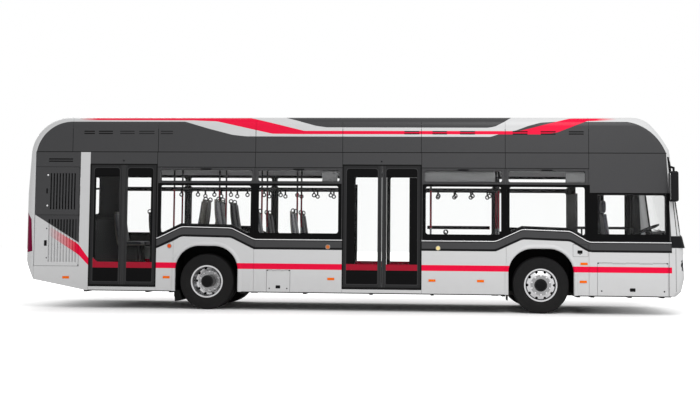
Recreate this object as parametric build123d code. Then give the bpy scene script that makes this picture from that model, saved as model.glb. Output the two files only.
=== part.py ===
"""Low-floor city bus, 12 m, seen from its right side with two gliding doors on each side.

Frame: +X forward, +Y to the bus's left, +Z up, millimetres, origin on the ground under the middle of the bus.
"""

from build123d import *
import math
import os

# Overall sizes
LENGTH = 12000.0
WIDTH = 2550.0
HEIGHT = 3520.0
HALF = WIDTH / 2
REAR_X = -LENGTH / 2
FRONT_X = LENGTH / 2

# Levels above the ground
SKIRT_Z = 330.0
FLOOR_Z = 400.0
BELT_Z = 1105.0
GLASS_LOW_Z = 1300.0
ROOF_RISE = 650.0
CANTRAIL_Z = HEIGHT - ROOF_RISE
GLASS_TOP_Z = CANTRAIL_Z - 292.0
TRANSOM_Z = GLASS_TOP_Z - 278.0
FAIRING_TOP_Z = HEIGHT - 89.0
DOOR_TOP_Z = CANTRAIL_Z - 225.0
CAB_GLASS_TOP_Z = CANTRAIL_Z - 710.0

# Wall sections and working gaps
WALL = 60.0
SKIRT_WALL = 40.0
ROOF_WALL = 40.0
DECK = 66.0
FLOOR_BOARD = 30.0
PANEL_GAP = 4.0
SEAT_GAP = 0.3
LID_GAP = 6.0
HINGE_R = 6.0
HINGE_GAP = 11.0

# Stations along the bus
REAR_AXLE_X = REAR_X + 3400.0
FRONT_AXLE_X = FRONT_X - 2570.0
REAR_CAP_X = REAR_X + 180.0
FRONT_CAP_X = FRONT_X - 280.0
ENGINE_BAY_X = REAR_X + 1015.0
REAR_ROOF_SEAM_X = REAR_X + 868.0
FRONT_ROOF_SEAM_X = FRONT_X - 1723.0
REAR_DOOR_XS = (REAR_X + 1210.0, REAR_X + 2465.0)
MID_DOOR_XS = (-125.0, 1305.0)
FRONT_DOOR_XS = (FRONT_X - 1700.0, FRONT_X - 500.0)
REAR_BAY_X = REAR_X + 4276.0
FRONT_BAY_X = FRONT_X - 3200.0
KICK_X = REAR_X + 1150.0
KICK_Z = 517.0

# Wheels and running gear
TYRE_R = 508.0
TYRE_W = 275.0
RIM_R = 286.0
RIM_LIP_R = 306.0
BEAD = 30.0
WHEEL_Y = 1080.0
TWIN_PITCH = 312.0
DISH = 14.0
HUB_R = 112.0
HAND_HOLE_RING = 240.0
HAND_HOLE_R = 25.0
# Wheel dishes by their outer faces: radius, distance outward of the tyre's middle
FRONT_DISH = ((270.0, 66.0), (246.0, 112.0), (186.0, 128.0), (100.0, 128.0))
TWIN_DISH = ((270.0, -80.0), (246.0, -124.0), (186.0, -142.0), (100.0, -142.0))
KINGPIN_Y = 1005.0
KINGPIN_R = 22.0
SPINDLE_R = 45.0
RUNNING_CLEARANCE = 0.1
ARCH_HALF = 577.0
ARCH_TOP_Z = 1157.0
ARCH_R = 440.0
FRONT_BOX_Y = 530.0
REAR_BOX_Y = 590.0
BOX_HALF = 596.0
BOX_TOP_Z = 1190.0
BOX_WALL = 12.0

# Glazing
GLASS = 8.0
GLASS_BED = 3.0
GLASS_LAP = 42.0
GLASS_EDGE = 2.0

# Door gear: a post behind each jamb swings two arms, one over the leaf and one under it. The leaf turns back twice as
# far on the arms' ends, while a roller by its leading edge runs in a track along the header
LEAF = 36.0
LEAF_RECESS = 8.0
LEAF_SIDE_GAP = 12.0
LEAF_MEET_GAP = 10.0
LEAF_TOP_GAP = 8.0
LEAF_FOOT_GAP = 30.0
STILE = 58.0
EDGE_RUBBER = 66.0
POST_R = 22.0
POST_BEHIND = 40.0
POST_DEPTH = 90.0
ROLLER_INSET = 40.0
ROLLER_R = 8.0
ARM_HALF = 14.0
ARM_PIN_R = 10.0
LOW_ARM_ZS = (FLOOR_Z + 6.0, FLOOR_Z + 20.0)
HIGH_ARM_ZS = (DOOR_TOP_Z + 7.0, DOOR_TOP_Z + 29.0)
BRACKET = 14.0
TRACK_ZS = (DOOR_TOP_Z + 67.0, DOOR_TOP_Z + 119.0)
TRACK_END = 20.0
TRACK_CLEARANCE = 5.0
THRESHOLD_H = 24.0

# Doorways: name, side (-1 right, 1 left), rear jamb, front jamb
DOORWAYS = (
    ("right_rear", -1, *REAR_DOOR_XS),
    ("right_mid", -1, *MID_DOOR_XS),
    ("left_mid", 1, *MID_DOOR_XS),
    ("left_front", 1, *FRONT_DOOR_XS),
)

# Belt line humps over the wheels: start, top start, top end, end, rise at top start, rise at top end
HUMPS = (
    (REAR_AXLE_X - 860.0, REAR_AXLE_X - 470.0, REAR_AXLE_X + 450.0, REAR_AXLE_X + 770.0, 222.0, 205.0),
    (FRONT_AXLE_X - 800.0, FRONT_AXLE_X - 330.0, FRONT_AXLE_X + 520.0, FRONT_AXLE_X + 832.0, 218.0, 190.0),
)

# Window bays: side, rear edge, front edge, lower edge of glass above the belt line, top of glass, has a hopper
BAYS = (
    (-1, REAR_DOOR_XS[1], REAR_BAY_X, GLASS_TOP_Z, True),
    (-1, REAR_BAY_X, MID_DOOR_XS[0], GLASS_TOP_Z, True),
    (-1, MID_DOOR_XS[1], FRONT_BAY_X, GLASS_TOP_Z, True),
    (-1, FRONT_BAY_X, FRONT_ROOF_SEAM_X, GLASS_TOP_Z, True),
    (-1, FRONT_ROOF_SEAM_X, FRONT_CAP_X, CAB_GLASS_TOP_Z, False),
    (1, ENGINE_BAY_X, REAR_DOOR_XS[1], GLASS_TOP_Z, True),
    (1, REAR_DOOR_XS[1], REAR_BAY_X, GLASS_TOP_Z, True),
    (1, REAR_BAY_X, MID_DOOR_XS[0], GLASS_TOP_Z, True),
    (1, MID_DOOR_XS[1], FRONT_BAY_X, GLASS_TOP_Z, True),
    (1, FRONT_BAY_X, FRONT_DOOR_XS[0], GLASS_TOP_Z, True),
)

# Seams of the lower panels, front to back, on each side
MID_SEAMS = (REAR_AXLE_X - 617.0, REAR_AXLE_X + 869.0, *MID_DOOR_XS, FRONT_AXLE_X - 615.0)
SKIRT_SEAMS = {
    -1: (REAR_CAP_X, ENGINE_BAY_X, *REAR_DOOR_XS, *MID_SEAMS, FRONT_AXLE_X + 842.0, FRONT_CAP_X),
    1: (REAR_CAP_X, ENGINE_BAY_X, REAR_DOOR_XS[1], *MID_SEAMS, *FRONT_DOOR_XS, FRONT_CAP_X),
}
FAIRING_SEAMS = (
    REAR_X,
    REAR_ROOF_SEAM_X,
    REAR_DOOR_XS[1] + 8.0,
    REAR_BAY_X + 4.0,
    MID_DOOR_XS[0] - 3.0,
    MID_DOOR_XS[1] - 9.0,
    FRONT_BAY_X - 2.0,
    FRONT_ROOF_SEAM_X,
    FRONT_X,
)

# Hinged lids in the right flank: name, rear, front, low, high, hinge edge
LIDS = (
    ("radiator_hatch", REAR_CAP_X, ENGINE_BAY_X, 1703.0, GLASS_TOP_Z + 8.0, "front"),
    ("engine_side_hatch", REAR_CAP_X, ENGINE_BAY_X, 767.0, 1697.0, "front"),
    ("service_flap", REAR_AXLE_X + 1104.0, REAR_AXLE_X + 1538.0, SKIRT_Z, 724.0, "top"),
    ("cab_flap", FRONT_X - 1584.0, FRONT_X - 348.0, SKIRT_Z, 911.0, "top"),
)
# Louvre fields: rear, front, low, high
LOUVRES = {
    "radiator_hatch": (REAR_X + 462.0, REAR_X + 964.0, 1802.0, GLASS_TOP_Z - 107.0),
    "engine_side_hatch": (REAR_X + 443.0, REAR_X + 964.0, 840.0, 1620.0),
}
LOUVRE_PITCH = 56.0
LOUVRE_SLOT = 26.0
LOUVRE_DEPTH = 22.0

# Rear engine lid and its opening
LID_HALF = 900.0
LID_LOW_Z = 640.0
LID_HIGH_Z = 1640.0

# Windscreen and rear window openings, seen along the bus: half width, low, high, corner radius
SCREEN = (1200.0, 1450.0, CANTRAIL_Z - 110.0, 90.0)
REAR_LIGHT = (880.0, 1760.0, CANTRAIL_Z - 310.0, 90.0)
# Small window over the engine on the left: rear, front, low, high
REAR_SIDE_LIGHT = (REAR_X + 255.0, REAR_X + 632.0, 1730.0, GLASS_TOP_Z)

# Seat pairs: side, x of the backrest foot, facing (1 forward, -1 rearward), level of the podium they stand on
PODIUM_Z = 760.0
SEATS = (
    (-1, REAR_AXLE_X - 240.0, -1, BOX_TOP_Z),
    (-1, REAR_AXLE_X + 240.0, 1, BOX_TOP_Z),
    (-1, REAR_AXLE_X + 960.0, 1, PODIUM_Z),
    (-1, REAR_AXLE_X + 1640.0, 1, PODIUM_Z),
    (1, REAR_AXLE_X - 2100.0, 1, PODIUM_Z),
    (1, REAR_AXLE_X - 1400.0, 1, PODIUM_Z),
    (1, REAR_AXLE_X - 240.0, -1, BOX_TOP_Z),
    (1, REAR_AXLE_X + 240.0, 1, BOX_TOP_Z),
    (1, REAR_AXLE_X + 960.0, 1, PODIUM_Z),
    (1, REAR_AXLE_X + 1640.0, 1, PODIUM_Z),
    (1, FRONT_AXLE_X - 1530.0, 1, FLOOR_Z),
)
SEAT_W = 400.0
SEAT_PITCH_Y = 415.0
SEAT_Y = HALF - 290.0
SEAT_RISE = 460.0
PODIUM_IN_Y = HALF - 795.0

# Grab poles: x, y
POLE_Y = 340.0
POLE_XS = (
    REAR_AXLE_X - 840.0,
    REAR_AXLE_X + 40.0,
    REAR_AXLE_X + 860.0,
    REAR_AXLE_X + 1540.0,
    MID_DOOR_XS[0] - 115.0,
    MID_DOOR_XS[1] + 175.0,
    FRONT_AXLE_X - 680.0,
)
POLES = tuple((x, s * POLE_Y) for x in POLE_XS for s in (-1, 1))
POLE_R = 17.0
CEILING_Z = CANTRAIL_Z - DECK
RAIL_Z = CEILING_Z - 564.0

# Nose and tail
NOSE_CORNER = 130.0
NOSE_BOW = 30.0
SCREEN_FOOT = (FRONT_X - 40.0, 1190.0)
SCREEN_HEAD_X = FRONT_X - 255.0
SCREEN_RAKE = (SCREEN_FOOT[0] - SCREEN_HEAD_X) / (CANTRAIL_Z - SCREEN_FOOT[1])
COWL_TOP_Z = 1400.0
COWL_TOP_X = FRONT_X - 50.0
MASK_X = FRONT_X - 14.0
MASK_TOP_X = FRONT_X - 35.0
BUMPER_TOP_Z = 660.0
BUMPER_LOW_Z = 412.0
BUMPER_LOW_X = FRONT_X - 75.0
CHIN_X = FRONT_X - 170.0
LAMP_IN_Y = 800.0
LAMP_OUT_Y = HALF - 13.0
LAMP_WRAP_X = FRONT_X - 170.0
LAMP_ZS = (785.0, 975.0)
PILLAR_FOOT_X = FRONT_X - 279.0
PILLAR_LEAN = 0.0489
CAB_GLASS_X = FRONT_X - 336.0
BAY_FRAME = 14.0
TAIL_CORNER = 170.0
TAIL_LEAN_Z = 2100.0
TAIL_LEAN = 43.0
TAIL_KICK_Z = 905.0
TAIL_LAMP = ((REAR_X - 20.0, 1815.0), (REAR_X + 119.0, 1618.0), (REAR_X + 152.0, 1032.0), (REAR_X - 20.0, 995.0))
TAIL_LAMP_DEPTH = 30.0
REAR_LOUVRE_ZS = tuple(1020.0 + 56.0 * i for i in range(8))
HINGE_KNUCKLES = 5
REAR_ARC_DROP = 85.0
# Roof line over the nose: distance behind the front, drop below the roof
NOSE_ROOF = ((940.0, 0.0), (748.8, 40.2), (590.0, 154.0), (400.0, 395.0), (255.0, ROOF_RISE))
ROOF_EDGE_R = 165.0

# Underframe: rails, cross members as x with their reach to the right and to the left
RAIL_Y = 430.0
RAIL_HALF = 35.0
RAIL_ZS = (290.0, 370.0)
CROSS_HALF = 30.0
REACH = HALF - SKIRT_WALL
SHORT = 1200.0
CROSS_MEMBERS = (
    (REAR_X + 1150.0, REACH, REACH),
    (REAR_AXLE_X - 1100.0, REACH, REACH),
    (REAR_AXLE_X - 660.0, REACH, REACH),
    (REAR_AXLE_X + 660.0, REACH, REACH),
    (-800.0, REACH, REACH),
    (400.0, REACH, REACH),
    (1500.0, REACH, REACH),
    (FRONT_AXLE_X - 660.0, REACH, REACH),
    (FRONT_AXLE_X + 660.0, REACH, REACH),
    (FRONT_AXLE_X + 910.0, REACH, REACH),
    (FRONT_X - 1000.0, SHORT, REACH),
    (FRONT_X - 430.0, SHORT, REACH),
)
CRADLE_ZS = (490.0, 560.0)
CRADLE_END_X = REAR_X + 220.0
BEAM_ZS = (190.0, 280.0)
BEAM_HALF = 55.0
TOW_R = 20.0
TOW_FRONT_X = FRONT_X - 340.0
TOW_REAR_X = REAR_X + 260.0
JACK_PADS = (REAR_AXLE_X + 760.0, FRONT_AXLE_X - 760.0)
JACK_PAD = 120.0
JACK_PAD_H = 20.0

# Floor boards: rear edge, front edge, half width
BULKHEAD_X = REAR_X + 1070.0
BULKHEAD = 30.0
ENGINE_DECK_Z = 1640.0
RADIATOR_Y = -620.0
BOARDS = (
    (BULKHEAD_X, REAR_AXLE_X - BOX_HALF - 4, REACH - 20),
    (REAR_AXLE_X - BOX_HALF, REAR_AXLE_X + BOX_HALF, REAR_BOX_Y),
    (REAR_AXLE_X + BOX_HALF + 4, FRONT_AXLE_X - BOX_HALF - 4, REACH - 20),
    (FRONT_AXLE_X - BOX_HALF, FRONT_AXLE_X + BOX_HALF, FRONT_BOX_Y),
    (FRONT_AXLE_X + BOX_HALF + 4, FRONT_X - 360.0, REACH - 20),
)
# Seat podiums: side, rear, front
PODIUMS = (
    (-1, REAR_AXLE_X + BOX_HALF + 4, MID_DOOR_XS[0] - 175.0),
    (1, REAR_AXLE_X + BOX_HALF + 4, MID_DOOR_XS[0] - 175.0),
    (1, BULKHEAD_X, REAR_AXLE_X - BOX_HALF - 4),
)

# Driver's place
CAB_Z = 700.0
CAB_IN_Y = -(HALF - 1025.0)
DRIVER_Y = -(HALF - 535.0)
DASH_OUT_Y = -(HALF - 95.0)
WHEEL_X = FRONT_X - 607.0
WHEEL_Z = 1518.0
WHEEL_TILT = 23.0
HANDWHEEL_R = 226.0

# Lamps on the flanks: x, z, half length, half height
SIDE_MARKERS = (
    (REAR_X + 793.0, 557.0),
    (REAR_AXLE_X - 735.0, 580.0),
    (MID_DOOR_XS[0] - 198.0, 580.0),
    (MID_DOOR_XS[1] + 190.0, 572.0),
    (FRONT_AXLE_X - 1071.0, 572.0),
    (FRONT_AXLE_X + 739.0, 578.0),
)
MARKER_HALF = (62.0, 21.0)
REPEATER = (FRONT_AXLE_X + 754.0, 896.0)
ROUND_LAMPS = (
    (REAR_AXLE_X - 689.0, 1148.0),
    (MID_DOOR_XS[0] - 258.0, 1155.0),
    (MID_DOOR_XS[1] + 297.0, 1150.0),
)
ROUND_LAMP_R = 36.0
LAMP_PROUD = 6.0

nodes = {}


def block(x0, x1, y0, y1, z0, z1):
    """Box between two corners."""
    size = (abs(x1 - x0), abs(y1 - y0), abs(z1 - z0))
    return Pos((x0 + x1) / 2, (y0 + y1) / 2, (z0 + z1) / 2) * Box(*size)


def flank_plate(points, y0, y1, corner=0.0):
    """Plate with an outline in X and Z, between two Y planes."""
    face = make_face(Polyline([(x, y0, z) for x, z in points], close=True))
    if corner:
        face = fillet(face.vertices(), corner)
    return extrude(face, amount=abs(y1 - y0), dir=(0, 1 if y1 > y0 else -1, 0))


def flank(side, depth0, depth1):
    """Y values of a layer of a flank, from depths below the outer face."""
    return side * (HALF - depth0), side * (HALF - depth1)


def rod(x, y, z0, z1, radius):
    """Upright cylinder."""
    return Pos(x, y, (z0 + z1) / 2) * Cylinder(radius, z1 - z0)


def bar(p, q, radius):
    """Straight round bar from p to q."""
    p, q = Vector(*p), Vector(*q)
    plane = Plane(origin=p, z_dir=(q - p).normalized())
    return extrude(plane * Circle(radius), amount=(q - p).length)


def rise(x):
    """Height of the belt line above its level at station x."""
    for start, top0, top1, end, rise0, rise1 in HUMPS:
        if start < x < top0:
            return rise0 * (x - start) / (top0 - start)
        if top0 <= x <= top1:
            return rise0 + (rise1 - rise0) * (x - top0) / (top1 - top0)
        if top1 < x < end:
            return rise1 * (end - x) / (end - top1)
    return 0.0


def belt(x0, x1, level):
    """Points of the belt line between two stations, at a level."""
    corners = [x for hump in HUMPS for x in hump[:4] if x0 + 110 < x < x1 - 110]
    return [(x, level + rise(x)) for x in [x0, *corners, x1]]


def above_belt(x0, x1, level, top):
    """Outline of the strip between the belt line and a level top."""
    return belt(x0, x1, level) + [(x1, top), (x0, top)]


def skirt_low(x):
    """Lower edge of the flank: level, and rising behind the rear door."""
    return SKIRT_Z if x >= KICK_X else SKIRT_Z + (KICK_Z - SKIRT_Z) * (KICK_X - x) / (KICK_X - REAR_CAP_X)


def merge(solids):
    """One shape holding several separate solids."""
    return Compound(children=[s for solid in solids for s in solid.solids()])


# Body ends


def side_profile(inset):
    """Outline of the upper body seen from the side: rear curve, roof, two front curves, above the cantrail."""
    radius = ROOF_RISE + REAR_ARC_DROP
    rear_r, top = radius - inset, HEIGHT - inset
    rear_c = (REAR_X + TAIL_LEAN - 3.0 + radius, CANTRAIL_Z - REAR_ARC_DROP)
    rear_top = (rear_c[0], top)
    rear_mid = (rear_c[0] - rear_r * math.sqrt(0.5), rear_c[1] + rear_r * math.sqrt(0.5))
    rear_low = (rear_c[0] - rear_r, rear_c[1])
    front = [(FRONT_X - back, HEIGHT - drop) for back, drop in NOSE_ROOF]
    normals = [(0.0, 1.0), (0.403, 0.915), (0.737, 0.676), (0.82, 0.57), (0.89, 0.46)]
    f = [(x - inset * nx, z - inset * nz) for (x, z), (nx, nz) in zip(front, normals)]
    base = CANTRAIL_Z - 200.0
    edges = [
        Line((rear_low[0], 0, base), (rear_low[0], 0, rear_low[1])),
        ThreePointArc(*[(x, 0, z) for x, z in (rear_low, rear_mid, rear_top)]),
        Line((rear_top[0], 0, top), (f[0][0], 0, top)),
        ThreePointArc(*[(x, 0, z) for x, z in ((f[0][0], top), f[1], f[2])]),
        ThreePointArc(*[(x, 0, z) for x, z in f[2:5]]),
        Line((f[4][0], 0, f[4][1]), (f[4][0] + 20.0, 0, base)),
        Line((f[4][0] + 20.0, 0, base), (rear_low[0], 0, base)),
    ]
    return make_face(edges)


def roof_hoop(inset):
    """Upper body: the side profile carried across the bus, its long edges rounded."""
    half = HALF - inset
    solid = extrude(side_profile(inset), amount=half, dir=(0, 1, 0), both=True)
    high = [e for e in solid.edges() if e.center().Z > CANTRAIL_Z - 190.0]
    edges = [e for e in high if abs(abs(e.center().Y) - half) < 1.0]
    return fillet(edges, ROOF_EDGE_R - inset)


def nose_plan(inset, x_front, z):
    """Plan outline of the front: a gently bowed face with rounded corners."""
    half, tip = HALF - inset, x_front - inset
    corner_y, corner_x = half - NOSE_CORNER, tip - NOSE_BOW
    back = FRONT_ROOF_SEAM_X + PANEL_GAP / 2
    edge = (corner_x - NOSE_CORNER, half)
    mid = (corner_x - NOSE_CORNER * 0.31, corner_y + NOSE_CORNER * 0.73)
    edges = [
        Line((back, half, z), (*edge, z)),
        ThreePointArc((*edge, z), (*mid, z), (corner_x, corner_y, z)),
        ThreePointArc((corner_x, corner_y, z), (tip, 0, z), (corner_x, -corner_y, z)),
        ThreePointArc((corner_x, -corner_y, z), (mid[0], -mid[1], z), (edge[0], -half, z)),
        Line((edge[0], -half, z), (back, -half, z)),
        Line((back, -half, z), (back, half, z)),
    ]
    return make_face(edges)


def nose_prism(inset, z0, x0, z1, x1):
    """The plan outline carried up along a sloping line from (x0, z0) to (x1, z1)."""
    path = Vector(x1 - x0, 0, z1 - z0)
    return extrude(nose_plan(inset, x0, z0), amount=path.length, dir=path.normalized())


def nose_upper(inset, z0=BELT_Z, z1=CANTRAIL_Z):
    """Raked part of the nose that carries the windscreen."""
    x0 = SCREEN_FOOT[0] - SCREEN_RAKE * (z0 - SCREEN_FOOT[1])
    x1 = SCREEN_FOOT[0] - SCREEN_RAKE * (z1 - SCREEN_FOOT[1])
    return nose_prism(inset, z0, x0, z1, x1)


def pillar_x(z):
    """Station of the front edge of the flank, leaning back with the front pillar."""
    return PILLAR_FOOT_X - PILLAR_LEAN * (z - BELT_Z)


def tail_prism(inset, z0, x0, z1, x1):
    """Rear body with rounded corners carried up from (x0, z0) to (x1, z1), open towards the front."""
    half, tip, front = HALF - inset, x0 + inset, ENGINE_BAY_X
    corner = TAIL_CORNER - inset
    face = Pos(0, 0, z0) * make_face(Polyline((front, half), (tip, half), (tip, -half), (front, -half), close=True))
    face = fillet([v for v in face.vertices() if v.X < tip + 1], corner)
    path = Vector(x1 - x0, 0, z1 - z0)
    return extrude(face, amount=path.length, dir=path.normalized())


def tail(inset):
    """Whole rear body below the cantrail: upright, then leaning in, with a raised lower edge."""
    low = tail_prism(inset, KICK_Z, REAR_X, TAIL_LEAN_Z, REAR_X)
    return low + tail_prism(inset, TAIL_LEAN_Z, REAR_X, CANTRAIL_Z, REAR_X + TAIL_LEAN)


def roof_shell():
    """Hollow upper body above the cantrail, its nose trimmed to the raked plan."""
    rear_part = block(REAR_X - 10, FRONT_X - 1000, -HALF, HALF, CANTRAIL_Z - 10, HEIGHT + 20)
    outer = roof_hoop(0.0) & (nose_upper(0.0, CANTRAIL_Z - 10, HEIGHT + 20) + rear_part)
    inner = roof_hoop(ROOF_WALL) & (nose_upper(ROOF_WALL, CANTRAIL_Z - 10, HEIGHT + 20) + rear_part)
    above = block(REAR_X - 10, FRONT_X + 10, -HALF - 10, HALF + 10, CANTRAIL_Z, HEIGHT + 20)
    return (outer & above) - inner


def fairing_outline():
    """Dark side panel of the roof: level below, curved at both ends."""
    low, top = CANTRAIL_Z, FAIRING_TOP_Z
    rear, front = REAR_X + 185.0, FRONT_X - 363.0
    edges = [
        Line((rear, 0, low), (front, 0, low)),
        ThreePointArc((front, 0, low), (front - 207, 0, low + 320), (front - 677, 0, top)),
        Line((front - 677, 0, top), (rear + 647, 0, top)),
        ThreePointArc((rear + 647, 0, top), (rear + 175, 0, low + 345), (rear, 0, low)),
    ]
    return make_face(edges)


def build_roof():
    """Roof cover, side fairings and the two end hoods, cut from one shell."""
    shell = roof_shell()
    core = block(REAR_X - 10, FRONT_X + 10, -(HALF - 135), HALF - 135, CANTRAIL_Z - 10, HEIGHT + 20)
    panel = extrude(fairing_outline(), amount=HALF + 20, dir=(0, 1, 0), both=True) - core
    flanks = shell & panel
    rest = shell - panel
    pieces = []
    for side in (-1, 1):
        for x0, x1 in zip(FAIRING_SEAMS, FAIRING_SEAMS[1:]):
            cut = block(x0 + PANEL_GAP / 2, x1 - PANEL_GAP / 2, 0, side * (HALF + 10), CANTRAIL_Z - 10, HEIGHT)
            pieces.append(flanks & cut)
    nodes["roof_fairings"] = merge(pieces)
    z0, z1 = CANTRAIL_Z - 10, HEIGHT + 10
    nodes["roof_cover"] = rest & block(REAR_ROOF_SEAM_X, FRONT_ROOF_SEAM_X, -HALF, HALF, z0, z1)
    rear_hood = rest & block(REAR_X - 10, REAR_ROOF_SEAM_X - PANEL_GAP, -HALF, HALF, z0, z1)
    front_hood = rest & block(FRONT_ROOF_SEAM_X + PANEL_GAP, FRONT_X, -HALF, HALF, z0, z1)
    inside = HALF - WALL
    nodes["inner_panels"] = block(REAR_CAP_X, FRONT_CAP_X - 220, -inside, inside, CEILING_Z, CANTRAIL_Z)
    return rear_hood, front_hood


def end_window(spec, x0, x1, grow=0.0):
    """Rounded opening through an end of the bus."""
    half, low, high, corner = spec
    frame = Plane(origin=(x0, 0, (low + high) / 2), x_dir=(0, 1, 0), z_dir=(1, 0, 0))
    face = frame * RectangleRounded(2 * (half + grow), high - low + 2 * grow, corner + grow)
    return extrude(face, amount=x1 - x0, dir=(1, 0, 0))


def beyond_pillar(y):
    """Everything ahead of the front pillar's line."""
    outline = [(pillar_x(BELT_Z - 10), BELT_Z - 10), (FRONT_X + 50, BELT_Z - 10)]
    outline += [(FRONT_X + 50, CANTRAIL_Z), (pillar_x(CANTRAIL_Z), CANTRAIL_Z)]
    return flank_plate(outline, -y, y)


def build_front(front_hood):
    """Windscreen surround with the roof hood, windscreen, cowl, mask, bumper and headlamps."""
    cap = FRONT_CAP_X - PANEL_GAP / 2 + SEAT_GAP
    ahead = block(cap, FRONT_X + 20, -HALF - 5, HALF + 5, SKIRT_Z - 5, COWL_TOP_Z)
    opening = end_window(SCREEN, FRONT_X - 700, FRONT_X + 50)
    bed = end_window(SCREEN, FRONT_X - 700, FRONT_X + 50, GLASS_LAP)
    shell = nose_upper(0, COWL_TOP_Z + SEAT_GAP) - nose_upper(WALL, COWL_TOP_Z, CANTRAIL_Z + 5)
    shell = shell & beyond_pillar(HALF + 5)
    rebate = bed & (nose_upper(-5) - nose_upper(GLASS + GLASS_BED))
    nodes["windscreen_surround"] = (shell - rebate - opening) + front_hood
    lite = end_window(SCREEN, FRONT_X - 700, FRONT_X + 50, GLASS_LAP - GLASS_EDGE)
    nodes["windscreen"] = (nose_upper(GLASS_BED) - nose_upper(GLASS_BED + GLASS)) & lite
    foot = SCREEN_FOOT[1]
    cowl = nose_prism(0, foot, FRONT_X, COWL_TOP_Z, COWL_TOP_X)
    cowl = cowl - nose_prism(WALL, foot, FRONT_X, COWL_TOP_Z, COWL_TOP_X)
    nodes["cowl"] = cowl & (beyond_pillar(HALF + 5) & ahead)
    top = foot - SEAT_GAP
    low = BUMPER_TOP_Z
    mask = nose_prism(0, low, MASK_X, top, MASK_TOP_X) - nose_prism(WALL, low, MASK_X, top, MASK_TOP_X)
    x0, x1 = LAMP_WRAP_X, FRONT_X + 20
    lamp_bed = merge([block(x0, x1, s * LAMP_IN_Y, s * LAMP_OUT_Y, *LAMP_ZS) for s in (-1, 1)])
    nodes["front_mask"] = (mask & ahead) - lamp_bed
    lens = nose_prism(4, low, MASK_X, top, MASK_TOP_X) - nose_prism(WALL - 14, low, MASK_X, top, MASK_TOP_X)
    g = SEAT_GAP
    z0, z1 = LAMP_ZS
    cuts = [block(x0 + g, x1, s * (LAMP_IN_Y + g), s * (LAMP_OUT_Y - g), z0 + g, z1 - g) for s in (-1, 1)]
    nodes["headlamps"] = merge([lens & cut for cut in cuts])
    low = BUMPER_LOW_Z
    top = BUMPER_TOP_Z - SEAT_GAP
    bumper = nose_prism(0, low, BUMPER_LOW_X, top, MASK_X) - nose_prism(WALL, low, BUMPER_LOW_X, top, MASK_X)
    chin = nose_prism(0, SKIRT_Z, CHIN_X, low, BUMPER_LOW_X)
    chin = chin - nose_prism(WALL, SKIRT_Z, CHIN_X, low, BUMPER_LOW_X)
    nodes["front_mask"] = merge([nodes["front_mask"], (bumper + chin) & ahead])


def build_rear(rear_hood):
    """Rear panel with the roof hood, engine lid, rear window and tail lamps."""
    shell = tail(0) - tail(WALL)
    wide = HALF + 5
    shell = shell & block(REAR_X - 10, REAR_CAP_X - PANEL_GAP, -wide, wide, KICK_Z - 5, CANTRAIL_Z + 5)
    wedge = [(REAR_X - 10, TAIL_KICK_Z), (REAR_X, TAIL_KICK_Z), (REAR_CAP_X, KICK_Z), (REAR_X - 10, KICK_Z - 10)]
    kick = flank_plate(wedge, -wide, wide)
    shell = shell - kick
    lamp_zone = [flank_plate(TAIL_LAMP, s * 1030, s * (HALF + 20)) for s in (-1, 1)]
    layer = tail(-5) - tail(TAIL_LAMP_DEPTH)
    for zone in lamp_zone:
        shell = shell - (zone & layer)
    skin = tail(0) - tail(TAIL_LAMP_DEPTH - SEAT_GAP)
    nodes["tail_lamps"] = merge([skin & shrink_lamp(s) for s in (-1, 1)])
    x0, x1 = REAR_X - 50, REAR_CAP_X + 40
    shell = shell - (end_window(REAR_LIGHT, x0, x1, GLASS_LAP) & (tail(-5) - tail(GLASS + GLASS_BED)))
    shell = shell - end_window(REAR_LIGHT, x0, x1)
    lite = end_window(REAR_LIGHT, x0, x1, GLASS_LAP - GLASS_EDGE)
    nodes["rear_window"] = (tail(GLASS_BED) - tail(GLASS_BED + GLASS)) & lite
    axis_z = LID_HIGH_Z + HINGE_GAP
    gap = LID_HALF + LID_GAP
    hole = block(REAR_X - 10, REAR_CAP_X + 10, -gap, gap, LID_LOW_Z - 400, axis_z + HINGE_GAP)
    lid = block(REAR_X, REAR_X + SKIRT_WALL, -LID_HALF, LID_HALF, LID_LOW_Z, LID_HIGH_Z) - kick
    x0, x1 = REAR_X - 1, REAR_X + LOUVRE_DEPTH
    lid = lid - merge([block(x0, x1, -620, 620, z, z + LOUVRE_SLOT) for z in REAR_LOUVRE_ZS])
    pivot = (REAR_X + HINGE_R, LID_HALF - 40, axis_z)
    moving, fixed = hinge(pivot, (0, -1, 0), (-1, 0, 0), 2 * LID_HALF - 80)
    nodes["engine_lid"] = lid + moving
    nodes["rear_panel"] = (shell - hole) + fixed + rear_hood


def shrink_lamp(side):
    """Outline of a tail lamp, drawn in from its bed."""
    face = make_face(Polyline([(x, side * 1032, z) for x, z in TAIL_LAMP], close=True))
    face = offset(face, amount=-GLASS_EDGE, kind=Kind.INTERSECTION)
    return extrude(face, amount=HALF - 1010, dir=(0, side, 0))


def hinge(origin, along, outward, length):
    """Knuckles of a hinge: the moving ones reach towards the lid, the fixed ones towards the body."""
    place = Plane(origin=origin, x_dir=along, z_dir=outward)
    step = length / HINGE_KNUCKLES
    halves = [[], []]
    for i in range(HINGE_KNUCKLES):
        toward = -1 if i % 2 == 0 else 1
        reach = HINGE_GAP + 3.0
        middle = (i + 0.5) * step
        barrel = Pos(middle, 0, 0) * Rot(0, 90, 0) * Cylinder(HINGE_R, step - 2 * SEAT_GAP)
        strap = Pos(middle, toward * reach / 2, -HINGE_R / 2) * Box(step - 2 * SEAT_GAP, reach, HINGE_R)
        halves[i % 2].append(place * (barrel + strap))
    return merge(halves[0]), merge(halves[1])


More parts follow.
